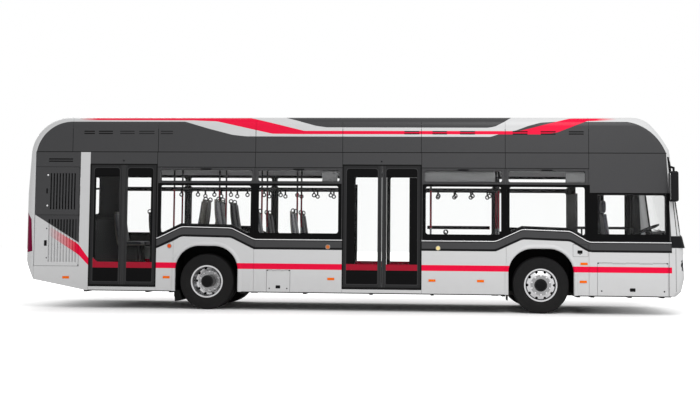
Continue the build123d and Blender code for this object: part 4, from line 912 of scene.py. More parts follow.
def finish(name, rgb, rough=0.4, metallic=0.0, scale=40.0, depth=0.1, bump=0.05, spec=0.2, **sockets):
    """Procedural finish: colour, roughness and bump with a fine unevenness; gives its tree and shader."""
    material = bpy.data.materials.new(name)
    material.use_nodes = True
    t = Tree(material.node_tree)
    t.shader = material.node_tree.nodes["Principled BSDF"]
    t.place = t.add("ShaderNodeTexCoord").outputs["Object"]
    grain = use_group(t, "fine_unevenness", Vector=t.place, Scale=scale, Depth=depth)
    tone = grain["Tone"]
    t.tone = t.add("ShaderNodeCombineColor", Red=tone, Green=tone, Blue=tone).outputs[0]
    repaint(t, colour(rgb))
    t.feed(t.shader.inputs["Roughness"], t.math("ADD", grain["Rough"], rough))
    t.shader.inputs["Metallic"].default_value = metallic
    t.shader.inputs["Specular IOR Level"].default_value = spec
    if bump:
        node = t.add("ShaderNodeBump", Strength=bump, Distance=0.002, Height=grain["Height"])
        t.feed(t.shader.inputs["Normal"], node.outputs["Normal"])
    for label, value in sockets.items():
        t.shader.inputs[label.replace("_", " ")].default_value = value
    return t


def dusted(t, base, top, amount):
    """Colour with road dust gathering towards the ground."""
    dust = use_group(t, "road_dust", Vector=t.place, Top=top, Amount=amount)["Dust"]
    return t.mix(dust, base, colour(DUST))


def clear_glass(name, rgb, rough=0.0):
    """Glass that lets the lamps through: a transmitting shader, clear to shadow rays."""
    glass = {"Transmission_Weight": 1.0, "IOR": 1.15}
    t = finish(name, rgb, rough, scale=3.0, depth=0.02, bump=0.0, spec=0.15, **glass)
    clear = t.add("ShaderNodeBsdfTransparent", Color=colour(tuple(0.4 + 0.6 * c for c in rgb)))
    path = t.add("ShaderNodeLightPath").outputs["Is Shadow Ray"]
    mixed = t.tree.nodes.new("ShaderNodeMixShader")
    for socket, value in zip(mixed.inputs, (path, t.shader.outputs[0], clear.outputs[0])):
        t.feed(socket, value)
    t.feed(t.tree.nodes["Material Output"].inputs["Surface"], mixed.outputs[0])


def paint_materials(look):
    """Body colours with the livery's stripes and bands placed by station and height."""
    silver, charcoal, red = (colour(c) for c in (look.silver, look.charcoal, look.red))
    silver_look = {"rough": 0.30, "scale": 900.0, "depth": 0.05, "bump": 0.01, "spec": 0.12}
    dust_top, dust_amount = 0.75, 0.16

    t = finish("silver_paint", look.silver, **silver_look)
    masks = use_group(t, "livery_masks", Vector=t.place)
    base = t.mix(masks["Roof Panel"], silver, charcoal)
    base = t.mix(masks["Roof Stripe"], base, red)
    base = t.mix(masks["Hatch"], base, charcoal)
    base = t.mix(masks["Side Stripe"], base, red)
    repaint(t, dusted(t, base, dust_top, dust_amount))

    t = finish("bare_silver_paint", look.silver, **silver_look)
    x, y, z = t.axes(t.place)

    def mark(level, half_height, half_width):
        """Mask of a mark on the middle line."""
        return t.product(t.near(z, level, half_height), t.near(y, 0.0, half_width))

    # Painted shade: the intake's two dark slots stand for openings the nose doesn't have
    slots = t.math("MAXIMUM", *(mark(*slot) for slot in INTAKES))
    nose = t.product(t.math("MAXIMUM", slots, mark(*BUMPER_SEAM)), t.math("GREATER_THAN", x, NOSE_FROM))
    tail = t.math("LESS_THAN", x, TAIL_FROM)
    blank = t.product(mark(REAR_PLATE_Z, PLATE_H / 2, PLATE_HALF), tail)
    grip = t.product(mark(*LID_GRIP), tail)
    base = t.mix(blank, dusted(t, silver, dust_top, dust_amount), colour(PLATE_WHITE))
    repaint(t, t.mix(t.math("MAXIMUM", nose, grip), base, colour(SLOT_BLACK)))

    t = finish("charcoal_paint", look.charcoal, rough=0.34, scale=700.0, depth=0.08, bump=0.01, spec=0.2)
    masks = use_group(t, "livery_masks", Vector=t.place)
    base = t.mix(masks["Roof Band"], charcoal, silver)
    base = t.mix(masks["Roof Stripe"], base, red)
    overhead = t.math("GREATER_THAN", t.axes(t.place)[2], LINING_EDGE)
    inner = t.mix(overhead, colour(LINING_BLACK), colour(LINING_GREY))
    repaint(t, t.mix(masks["Inside"], base, inner))

    finish("door_frame_paint", look.door, 0.42, scale=500.0, depth=0.15, bump=0.03, spec=0.1)
    finish("stripe_film", tuple(c * 0.42 for c in look.red), 0.20, scale=400.0, depth=0.08, bump=0.0)


def glass_materials():
    """Clear glass of the panes, the windscreen and the headlamps."""
    clear_glass("window_glass", CLEAR)
    clear_glass("screen_glass", CLEAR)
    clear_glass("lamp_glass", (0.97, 0.97, 0.98), 0.02)


def lamp_materials(look):
    """Ribbed amber lenses with the round lamps' own colours, and tail lenses with a cell pattern."""
    t = finish("amber_lens", look.amber, 0.16, scale=90.0, depth=0.1, bump=0.0, spec=0.1)
    ribs = t.add("ShaderNodeTexWave", Vector=t.place, Scale=26.0).outputs["Fac"]
    base = t.mix(t.math("MULTIPLY", ribs, 0.35), colour(look.amber), colour((0.55, 0.07, 0.0)))
    x, _, z = t.axes(t.place)
    reach = 0.06
    for lamp_x, lamp_z, rgb in ROUND_LAMPS:
        base = t.mix(t.product(t.near(x, lamp_x, reach), t.near(z, lamp_z, reach)), base, colour(rgb))
    repaint(t, base)

    t = finish("tail_lens", look.lamp, 0.14, scale=60.0, depth=0.15, bump=0.0, spec=0.05)
    cells = t.add("ShaderNodeTexVoronoi", Vector=t.place, Scale=70.0).outputs["Distance"]
    repaint(t, t.mix(t.ramp(cells, 0.0, 0.6), colour((0.24, 0.0, 0.045)), colour(look.lamp)))


def wheel_materials():
    """Dusty rubber, and rims with a bright dish, a darker ring round the nuts that is painted shade, and a
    black hub, by distance from the axle.
    """
    t = finish("tyre_rubber", SLOT_BLACK, 0.78, scale=160.0, depth=0.4, bump=0.1, spec=0.1)
    repaint(t, dusted(t, colour(SLOT_BLACK), 1.2, 0.05))
    shine = 0.9
    for end, axle_x in AXLES.items():
        t = finish(f"rim_{end}_metal", (0.62, 0.62, 0.63), 0.26, shine, scale=120.0, depth=0.12, bump=0.04)
        local = t.add("ShaderNodeVectorMath", Vector=t.place)
        local.operation = "SUBTRACT"
        local.inputs[1].default_value = (axle_x, 0.0, TYRE_R)
        x, _, z = t.axes(local.outputs[0])
        r = t.math("SQRT", t.math("ADD", t.math("MULTIPLY", x, x), t.math("MULTIPLY", z, z)))
        hub = t.math("LESS_THAN", r, 0.1125)
        # Painted shade: the dish inside the ring of nuts is darker, so the nuts stand out as if shaded round
        base = t.mix(t.ramp(r, 0.176, 0.190), colour((0.34, 0.34, 0.345)), colour((0.66, 0.66, 0.67)))
        repaint(t, t.mix(hub, base, colour(SLOT_BLACK)))
        t.feed(t.shader.inputs["Metallic"], t.math("SUBTRACT", shine, t.math("MULTIPLY", hub, shine)))


def inside_materials(look):
    """Chassis paint, flecked floor, lining in two colours, rails by height, and woven seat cloth."""
    t = finish("chassis_paint", CHASSIS_BLACK, 0.55, scale=120.0, depth=0.4, bump=0.2)
    repaint(t, dusted(t, colour(CHASSIS_BLACK), 0.8, 0.5))

    t = finish("saloon_vinyl", FLOOR_GREY, 0.55, scale=500.0, depth=0.5, bump=0.1)
    flecks = t.add("ShaderNodeTexVoronoi", Vector=t.place, Scale=160.0).outputs["Distance"]
    repaint(t, t.mix(t.ramp(flecks, 0.12, 0.05), colour(FLOOR_GREY), colour((0.24, 0.25, 0.26))))

    t = finish("lining_plastic", LINING_GREY, 0.65, scale=340.0, depth=0.12, bump=0.06, spec=0.05)
    below = t.math("LESS_THAN", t.axes(t.place)[2], LINING_EDGE)
    repaint(t, t.mix(below, colour(LINING_GREY), colour((0.030, 0.030, 0.031))))

    t = finish("rail_enamel", RAIL_RED, 0.30, scale=300.0, depth=0.08, bump=0.0)
    height = t.axes(t.place)[2]
    base = t.mix(t.math("LESS_THAN", height, 1.52), colour(RAIL_RED), colour((0.20, 0.20, 0.205)))
    repaint(t, t.mix(t.math("GREATER_THAN", height, 2.220), base, colour((0.035, 0.035, 0.036))))

    sheen = {"Sheen_Weight": 0.35, "Sheen_Roughness": 0.5}
    t = finish("seat_cloth", look.fabric, 0.86, scale=900.0, depth=0.3, bump=0.0, **sheen)
    weave = t.add("ShaderNodeTexWave", Vector=t.place, Scale=420.0, Distortion=1.0)
    cross = t.add("ShaderNodeTexWave", Vector=t.place, Scale=420.0, Distortion=1.0)
    cross.bands_direction = "Y"
    thread = t.product(weave.outputs["Fac"], cross.outputs["Fac"])
    spots = t.add("ShaderNodeTexVoronoi", Vector=t.place, Scale=34.0).outputs["Distance"]
    base = t.mix(t.ramp(spots, 0.16, 0.12), colour(look.fabric), colour((0.10, 0.012, 0.022)))
    repaint(t, t.mix(t.math("MULTIPLY", thread, 0.5), base, colour((0.09, 0.09, 0.10))))
    bump = t.add("ShaderNodeBump", Strength=0.35, Distance=0.0012, Height=thread)
    t.feed(t.shader.inputs["Normal"], bump.outputs["Normal"])


# Pieces


class BUS_OT_finishes(bpy.types.Operator):
    """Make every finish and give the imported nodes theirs."""

    bl_idname = "bus.finishes"
    bl_label = "Finishes"

    def execute(self, context):
        look = context.scene.bus_paint
        livery_masks()
        fine_unevenness()
        road_dust()
        for name, (rgb, *values) in PLAIN_FINISHES.items():
            finish(name, rgb, *values)
        paint_materials(look)
        glass_materials()
        lamp_materials(look)
        wheel_materials()
        inside_materials(look)
        for material, names in NODE_FINISHES.items():
            for name in names:
                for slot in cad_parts[name].material_slots:
                    slot.material = bpy.data.materials[material]
        return {"FINISHED"}


class BUS_OT_window_trim(bpy.types.Operator):
    """Dark printed edges on the panes, hopper frames and their catches."""

    bl_idname = "bus.window_trim"
    bl_label = "Window trim"

    def execute(self, context):
        trim = context.scene.bus_trim
        hopper_border = (trim.border, trim.border, trim.border_foot, trim.border_top)
        for name, s in SIDES.items():
            place = flank(s)
            edges, frames, catches = [], [], []
            for _, x0, x1, top, hopper in (bay for bay in BAYS if bay[0] == s):
                if hopper:
                    edges += self.pane_edge(place, x0, x1, TRANSOM - TRANSOM_GAP, hopper_border, 0.045)
                    frames.append(self.hopper_frame(place, x0 + BAY_GAP, x1 - BAY_GAP))
                    catches.append(self.hopper_catch(place, (x0 + x1) / 2))
                else:
                    edges += self.pane_edge(place, x0, x1, top, CAB_BORDER, 0.016)
            if s == SIDES["left"]:
                edges += self.rear_side_pane(place)
            piece(f"window_edges_{name}", edges, "printed_black")
            piece(f"hopper_frames_{name}", frames, "hopper_paint")
            piece(f"hopper_catches_{name}", catches, "matt_black")
        return {"FINISHED"}

    def pane_edge(self, place, x0, x1, high, border, radius):
        """Print round one pane, and a cap over the joint ahead of it where no doorway has that station."""
        rear, front, foot, head = border
        a, b = x0 + BAY_GAP, x1 - BAY_GAP
        outer = bay_loop(a + PANE_EASE, b - PANE_EASE, PANE_EASE, 0.0, high - PANE_EASE, 0.010)
        inner = bay_loop(a + rear, b - front, 0.012, foot, high - head, radius)
        shells = []
        if not any(x1 in door[2:] for door in DOORWAYS):
            half = 0.016
            cap = rectangle(x1 - half, x1 + half, GLASS_LOW + float(belt_rise(b)), high)
            shells.append(plate(place, cap, -0.0006, 0.002))
        return shells + [edging(place, outer, inner, *PRINT)]

    def hopper_frame(self, place, x0, x1):
        """Frame of a hopper, above the transom."""
        outline = rectangle(x0, x1, TRANSOM + TRANSOM_GAP, GLASS_TOP)
        outer = rounded(drawn_in(outline, PANE_EASE), 0.012)
        inner = rounded(drawn_in(outline, HOPPER_FRAME), 0.030)
        return edging(place, outer, inner, -0.001, PRINT[1])

    def hopper_catch(self, place, x):
        """Flat catch at the middle of a hopper's head."""
        half = 0.10
        loop = rounded(rectangle(x - half, x + half, GLASS_TOP - 0.034, GLASS_TOP - 0.008), 0.006)
        return plate(place, loop, -0.006, -0.0008)

    def rear_side_pane(self, place):
        """Print round the small pane by the engine, and the bar across it at the transom."""
        x0, x1, z0 = REAR_SIDE_PANE
        outline = rectangle(x0, x1, z0, GLASS_TOP)
        outer = rounded(drawn_in(outline, 0.004), 0.012)
        inner = rounded(drawn_in(outline, 0.045), 0.030)
        bar = rectangle(x0 + 0.044, x1 - 0.044, TRANSOM - 0.02, TRANSOM + 0.02)
        return [edging(place, outer, inner, *PRINT), plate(place, bar, *PRINT)]


class BUS_OT_belt(bpy.types.Operator):
    """Bright bead and dark lines along the belt, following its humps over the wheels."""

    bl_idname = "bus.belt"
    bl_label = "Belt trim"

    def execute(self, context):
        half = context.scene.bus_trim.bead / 2
        dome = [[-half, -0.003], [half, -0.003], [half * 0.8, 0.002], [0, 0.0035], [-half * 0.8, 0.002]]
        for name, s in SIDES.items():
            bright = self.along_belt(s, BEAD_LEVEL, dome)
            lines = []
            for level, h in BELT_LINES:
                lines += self.along_belt(s, level, [[-h, -0.002], [h, -0.002], [h, 0.0015], [-h, 0.0015]])
            piece(f"belt_bead_{name}", bright, "bright_trim")
            piece(f"belt_lines_{name}", lines, "matt_black")
        return {"FINISHED"}

    def along_belt(self, side, level, section):
        """Section of heights and outward distances carried along every run of one side's belt."""
        outward = np.array(section)[:, ::-1] * np.array([side, 1.0])
        runs = [(x0, x1) for s, x0, x1 in BELT_RUNS if s == side]
        return [sweep(belt_path(side, x0, x1, level), outward, Y_AXIS) for x0, x1 in runs]


class BUS_OT_seams(bpy.types.Operator):
    """Dark sealing strips in the joints between panels, along the cantrail and over the windows."""

    bl_idname = "bus.seams"
    bl_label = "Panel seams"

    def execute(self, context):
        for name, s in SIDES.items():
            place = flank(s)
            shells = [plate(place, strip, *SEAM) for strip in self.strips(s)]
            piece(f"panel_seams_{name}", shells, "black_rubber")
        return {"FINISHED"}

    def strips(self, side):
        """Outlines of one side's strips: cantrail, roof, window posts, window heads, nose, skirt and tail."""
        half = 0.004
        jambs = [x for _, s, x0, x1 in DOORWAYS if s == side for x in (x0, x1)]
        bays = [bay for bay in BAYS if bay[0] == side]
        posts = {x for bay in bays for x in bay[1:3]} - {CAB_GLASS_FRONT}
        strips = [rectangle(*CANTRAIL_RUN, CANTRAIL - 0.007, CANTRAIL + 0.005)]
        strips += [rectangle(x - half, x + half, CANTRAIL, ROOF_SEAM_TOP) for x in ROOF_SEAMS]
        for x in posts:
            strips.append(rectangle(x - half, x + half, DOOR_HEAD if x in jambs else GLASS_TOP, CANTRAIL))
        for _, x0, x1, top, hopper in bays:
            if hopper:
                strips.append(rectangle(x0 + half, x1 - half, top + 0.008, top + 0.018))
        strips.append(rectangle(*NOSE_JOINT))
        strips.append(rectangle(CAB_GLASS_FRONT, CAB_GLASS_FRONT + 0.006, SKIRT_LOW, BELT))
        strips += [rectangle(x0, x1, SKIRT_LOW - 0.010, SKIRT_LOW + 0.007) for x0, x1 in SKIRT_RUNS]
        if side == SIDES["left"]:
            strips.append(rectangle(*TAIL_JOINT))
        return strips


class BUS_OT_arches(bpy.types.Operator):
    """Raised mouldings round the wheel arches."""

    bl_idname = "bus.arches"
    bl_label = "Arch mouldings"

    def execute(self, context):
        width = context.scene.bus_trim.arch_lip
        across = np.array([0.0, 0.10, 0.28, 0.60, 0.88, 1.0]) * width
        proud = [0.004, 0.017, 0.022, 0.015, 0.004, 0.0]
        back = [[width, -0.006], [0.0, -0.012], [-0.004, -0.004]]
        section = np.concatenate([np.column_stack([across, proud]), back])
        for name, s in SIDES.items():
            outward = np.column_stack([s * section[:, 1], section[:, 0]])
            lips = [sweep(arch_path(x, s, 0.004), outward, Y_AXIS) for x in AXLES.values()]
            piece(f"arch_mouldings_{name}", lips, "silver_paint", angle=60.0)
        return {"FINISHED"}


class BUS_OT_doors(bpy.types.Operator):
    """Door leaves: moulded frames, panes, edge rubbers, stripe films, grab bars and hangers."""

    bl_idname = "bus.doors"
    bl_label = "Door leaves"

    def execute(self, context):
        for door, side, x0, x1 in DOORWAYS:
            edges = [rounded(rectangle(x0 + d, x1 - d, foot, head), 0.012) for d, foot, head in SEAL_EDGES]
            seal = edging(flank(side), *edges, -0.0015, 0.0025, inner_face=-0.0005)
            piece(f"doorway_seal_{door}", [seal], "black_rubber")
            for end, jamb, toward in (("rear", x0, 1), ("front", x1, -1)):
                self.leaf(f"{door}_{end}", side, jamb, toward, (x1 - x0 - LEAF_MEET_GAP) / 2)
        return {"FINISHED"}

    def leaf(self, name, side, jamb, toward, u1):
        """One leaf from its distances into the doorway, depths below the flank and heights."""

        def put(loop, depth):
            """Outline of distances and heights, set at a depth."""
            y = np.full(len(loop), side * (HALF - depth))
            return np.column_stack([jamb + toward * loop[:, 0], y, loop[:, 1]])

        body = f"door_leaf_{name}"
        u0, z0, z1 = LEAF_SIDE_GAP, DOOR_FOOT, DOOR_HEAD
        a, b, c, d = u0 + STILE, u1 - EDGE_RUBBER, z0 + STILE, z1 - STILE

        def opening(grow, foot_r, head_r):
            """Outline of the frame's opening, wider by grow."""
            loop = rectangle(a - grow, b + grow, c - grow, d + grow)
            return rounded(loop, [foot_r, foot_r, head_r, head_r])

        outer = rounded(rectangle(u0, u1, z0, z1), 0.010)
        ease = 0.003
        face = rounded(rectangle(u0 + ease, u1 - ease, z0 + ease, z1 - ease), 0.010)
        inner = opening(0.0, 0.020, 0.060)
        lip = opening(0.006, 0.024, 0.064)
        rim = opening(-0.006, 0.018, 0.056)
        steps = ((outer, 0.011), (face, LEAF_FACE), (lip, LEAF_FACE), (inner, 0.012))
        shell = hoop([put(loop, depth) for loop, depth in (*steps, (inner, LEAF_BACK), (outer, LEAF_BACK))])
        parts = [shell, *self.hangers(side, jamb, toward, u1 - ROLLER_INSET)]
        piece(f"leaf_frame_{name}", parts, "door_frame_paint", body, replaces=[body])

        rubbers = [edging(put, lip, rim, 0.0078, 0.0088)]
        for w0, w1 in ((0.058, 0.044), (0.030, -0.003)):
            rib = rounded(rectangle(u1 - w0, u1 - w1, z0 + 0.004, z1 - 0.004), 0.004)
            rubbers.append(plate(put, rib, 0.0045, 0.0079))
        piece(f"leaf_rubbers_{name}", rubbers, "centre_rubber", body)
        pane = plate(put, opening(0.013, 0.02, 0.02), 0.009, 0.0165)
        piece(f"leaf_pane_{name}", [pane], "window_glass", body)
        self.films(name, body, side, put, (a + 0.001, b - 0.001, c + 0.001, d - 0.001))

        s = np.linspace(0, 1, 24)
        depth = LEAF_BACK + 0.050 * np.clip(np.minimum(s, 1 - s) / 0.06, 0, 1) ** 0.5
        path = put(np.column_stack([np.full(24, u1 - 0.036), 0.82 + 0.86 * s]), depth)
        grip = tube(path, 0.014, X_AXIS, 10)
        piece(f"leaf_grip_{name}", [grip], "post_enamel", body, angle=80.0)

    def hangers(self, side, jamb, toward, tip):
        """Brackets with the pins that turn in the arms, and the roller's bracket with its roller."""

        def plan(loop, z):
            """Outline of distances and depths, set at a height."""
            y = side * (HALF - loop[:, 1])
            return np.column_stack([jamb + toward * loop[:, 0], y, np.full(len(loop), z)])

        def upright(u):
            """Foot of an upright axis in the pins' plane."""
            return (jamb + toward * u, side * (HALF - PIN_DEPTH), 0)

        parts = []
        hang = (tip - POST_BEHIND) / 2
        near, far = 0.042, 0.106
        loop = [[hang - 0.024, near], [hang + 0.024, near], [hang + 0.016, far], [hang - 0.016, far]]
        for (low, high), foot in ((LOW_ARM, DOOR_FOOT), (HIGH_ARM, DOOR_HEAD - BRACKET)):
            parts.append(plate(plan, rounded(loop, 0.008), foot, foot + BRACKET))
            z0, z1 = min(low, foot), max(high, foot + BRACKET)
            parts.append(turned([[0, z0], [PIN_R, z0], [PIN_R, z1], [0, z1]], upright(hang), Z_AXIS, 14))
        far = 0.102
        loop = [[tip - 0.015, near], [tip + 0.015, near], [tip + 0.012, far], [tip - 0.012, far]]
        parts.append(plate(plan, rounded(loop, 0.006), DOOR_HEAD - BRACKET, DOOR_HEAD - 0.002))
        z0, stem, wheel = DOOR_HEAD - 0.004, 0.005, 0.008
        roller = [[0, z0], [stem, z0], [stem, 2.715], [wheel, 2.718], [wheel, 2.748], [0, 2.750]]
        parts.append(turned(roller, upright(tip), Z_AXIS, 14))
        return parts

    def films(self, name, body, side, put, opening):
        """Stripe film and dark prints on a leaf's pane; the rearmost leaf's stripe climbs at its jamb."""
        a, b, c, d = opening
        climbs = name == "right_rear_rear"
        stripe = rectangle(a, b, STRIPE_LOW, STRIPE_HIGH)
        if climbs:
            stripe = np.array([*stripe[:3], [a + 0.091, STRIPE_HIGH], [a, 0.928]])
        piece(f"leaf_stripe_{name}", [plate(put, stripe, *LEAF_FILM)], "stripe_film", body)
        foot = rounded(rectangle(a, b, c, STRIPE_LOW - 0.0005), 0.010)
        head = rounded(rectangle(a, b, HEAD_FILM_LOW, d), [0.004, 0.004, 0.058, 0.058])
        width = 0.149 if "right_mid" in name else 0.044
        band = rectangle(a, a + width, 0.930 if climbs else STRIPE_HIGH + 0.001, HEAD_FILM_LOW - 0.001)
        loops = (foot, head, band) if side == SIDES["right"] else (foot, band)
        prints = [plate(put, loop, *LEAF_FILM) for loop in loops]
        piece(f"leaf_prints_{name}", prints, "black_panel", body)


class BUS_OT_wheels(bpy.types.Operator):
    """Tyres with rounded shoulders, wheel nuts, and hub covers."""

    bl_idname = "bus.wheels"
    bl_label = "Wheels"

    def execute(self, context):
        half = TYRE_W / 2
        outer = np.array([[0.2865, half - 0.030], [0.296, half - 0.012], [0.328, half - 0.004]])
        outer = np.concatenate([outer, [[0.405, half], [0.488, half - 0.017], [TYRE_R, half - 0.070]]])
        profile = np.concatenate([outer, outer[::-1] * [1, -1]])
        for name, s in SIDES.items():
            for end, x in AXLES.items():
                wheel, body = f"{end}_{name}", f"wheel_{end}_{name}"
                rows = (0.0,) if end == "front" else (0.0, TWIN_PITCH)
                tyres = [lathe(profile, (x, s * (WHEEL_Y - row), TYRE_R), s * Y_AXIS, 40) for row in rows]
                tyre = [f"tyre_{wheel}"]
                piece(f"tyres_{wheel}", tyres, "tyre_rubber", body, angle=40.0, replaces=tyre)
                self.nuts(wheel, body, x, s, NUT_FACE[end])
                self.hub_cap(wheel, body, x, s, HUB_TOP[end])
        return {"FINISHED"}

    def nuts(self, wheel, body, x, s, face):
        """Ten nuts on the dish, each a six-sided nut with the stud's end."""
        ring, nut, stud = 0.1675, 0.017, 0.011
        profile = [[0, face - 0.004], [nut, face - 0.004], [nut, face + 0.022]]
        profile += [[stud, face + 0.026], [stud, face + 0.040], [0, face + 0.042]]
        turns = np.arange(10) * 2 * np.pi / 10 + np.pi / 10
        places = [(x + ring * np.cos(a), s * WHEEL_Y, TYRE_R + ring * np.sin(a)) for a in turns]
        nuts = [turned(profile, place, s * Y_AXIS, 6) for place in places]
        piece(f"wheel_nuts_{wheel}", nuts, "bright_trim", body)

    def hub_cap(self, wheel, body, x, s, top):
        """Low cover on the hub, with a sloped edge."""
        profile = [[0, top + 0.008], [0.060, top + 0.008], [0.086, top + 0.004]]
        profile += [[0.104, top - 0.010], [0.104, top - 0.020], [0, top - 0.020]]
        cap = turned(profile, (x, s * WHEEL_Y, TYRE_R), s * Y_AXIS, 40)
        piece(f"hub_cap_{wheel}", [cap], "matt_black", body)


class BUS_OT_small_parts(bpy.types.Operator):
    """Roof vents, louvre shades, duct covers, door eyes, mud flaps, catches, locks and lamp rims."""

    bl_idname = "bus.small_parts"
    bl_label = "Small parts"

    def execute(self, context):
        self.roof_vents()
        self.louvre_shades()
        self.backings()
        self.door_eyes()
        self.mud_flaps()
        self.catches()
        self.locks()
        outer = rounded(rectangle(3.990, 4.259, 1.020, 1.239), 0.012)
        inner = rounded(rectangle(3.994, 4.255, 1.024, 1.235), 0.010)
        line = edging(RIGHT_FLANK, outer, inner, -0.0006, 0.001)
        piece("filler_flap_line", [line], "matt_black")
        ring = [[0.034, 0.0065], [0.038, 0.009], [0.044, 0.006], [0.045, 0.0], [0.034, 0.0]]
        rims = [lathe(ring, (x, s * HALF, z), s * Y_AXIS, 28) for s in (-1, 1) for x, z, _ in ROUND_LAMPS]
        piece("round_lamp_rims", rims, "dull_metal")
        return {"FINISHED"}

    def roof_vents(self):
        """Pairs of rounded slots: open ones are dark plates, painted shade standing for the openings, and
        closed ones are painted over.
        """
        half = 0.010
        for name, s in SIDES.items():
            place = flank(s)
            # The open slots' dark plates are painted shade
            kinds = (("open", ROOF_SLOTS, "black_rubber"), ("closed", CLOSED_SLOTS, "door_frame_paint"))
            for label, pairs, material in kinds:
                slots = []
                for x0, x1 in pairs:
                    for z in SLOT_LEVELS:
                        loop = rounded(rectangle(x0, x1, z - half, z + half), 0.008)
                        slots.append(plate(place, loop, *ROOF_SLOT))
                piece(f"roof_vents_{label}_{name}", slots, material)

    def louvre_shades(self):
        """Dark strips in the louvres, painted shade standing for the hollows of the slots, ending above the
        sloped edge of the charcoal.
        """
        for body, x0, x1, z0, z1 in LOUVRES:
            strips = []
            for x in np.arange(x0 + 0.001, x1 - 0.02, LOUVRE_PITCH):
                low = max(z0, HATCH_Z[0] - HATCH_FALL * (x - HATCH_X[0]) + 0.008)
                if low < z1 - 0.02:
                    loop = rectangle(x, x + LOUVRE_WIDTH, low + 0.001, z1 - 0.001)
                    strips.append(plate(RIGHT_FLANK, loop, *LOUVRE_SHADE))
            piece(f"louvre_shades_{body}", strips, "black_panel", body)

    def backings(self):
        """Strips behind the gaps round lids, painted shade so the gaps show dark, covers of the air ducts,
        and dark strips in the upper vents as painted shade.
        """
        half = 0.012
        # Painted shade: dark strips behind the gaps round the lids
        sills = [rectangle(-5.81, -4.99, z - half, z + half) for z in (0.764, 1.700, 2.589)]
        sills.append(rectangle(4.42, 5.64, 0.900, 0.924))
        strips = [plate(RIGHT_FLANK, loop, *GAP_SHADE) for loop in sills]
        piece("gap_shade_strips", strips, "black_panel")
        covers = [plate(RIGHT_FLANK, rectangle(x0, x1, 2.314, 2.575), *DUCT_COVER) for x0, x1 in DUCTS]
        piece("duct_covers", covers, "duct_plastic")
        # Painted shade: dark strips set in the vent slots below the cantrail
        vents = [rectangle(-5.576, -5.126, CANTRAIL - d, CANTRAIL - d + 0.020) for d in (0.187, 0.146)]
        shades = [plate(RIGHT_FLANK, loop, *VENT_SHADE) for loop in vents]
        piece("vent_shades", shades, "black_panel")

    def door_eyes(self):
        """Small domes over the doorways."""
        dome = [[0, 0.014], [0.008, 0.012], [0.013, 0.004], [0.014, -0.003], [0, -0.003]]
        eyes = []
        for s, stations in DOOR_EYES.items():
            eyes += [turned(dome, (x, s * HALF, DOOR_EYE_Z), s * Y_AXIS) for x in stations]
        piece("door_eyes", eyes, "cowl_black")

    def mud_flaps(self):
        """Rubber flaps behind the rear wheels."""
        loop = rounded([[-3.190, 0.345], [-3.105, 0.345], [-3.050, 0.165], [-3.180, 0.140]], 0.012)
        flaps = [plate(flank(s), loop, HALF - 1.228, HALF - 0.800) for s in (-1, 1)]
        piece("mud_flaps", flaps, "black_rubber")

    def catches(self):
        """Cupped catches, each with a grip, gathered by the body that carries them."""
        grouped = {}
        wall = 0.008
        for body, x, z, w, h in CATCHES:
            outer = rounded(rectangle(x - w, x + w, z - h, z + h), 0.012)
            inner = rounded(rectangle(x - w + wall, x + w - wall, z - h + wall, z + h - wall), 0.008)
            grip = rounded(rectangle(x - w * 0.7, x + w * 0.7, z + h * 0.15, z + h * 0.55), 0.005)
            cup = edging(RIGHT_FLANK, outer, inner, -0.0025, 0.002, inner_face=-0.0035)
            parts = [cup, plate(RIGHT_FLANK, inner, -0.0015, 0.002), plate(RIGHT_FLANK, grip, -0.005, 0.001)]
            grouped.setdefault(body, []).extend(parts)
        for body, parts in grouped.items():
            piece(f"lid_catches_{body}", parts, "matt_black", body)

    def locks(self):
        """Low round locks, bright on the radiator's hatch, gathered by the body that carries them."""
        grouped = {}
        for body, x, z, r in LOCKS:
            dome = [[0, 0.004], [r * 0.6, 0.0035], [r, 0.001], [r, -0.004], [0, -0.004]]
            grouped.setdefault(body, []).append(turned(dome, (x, -HALF, z), -Y_AXIS, 16))
        for body, parts in grouped.items():
            material = "bright_trim" if body == "radiator_hatch" else "matt_black"
            piece(f"lid_locks_{body}", parts, material, body)


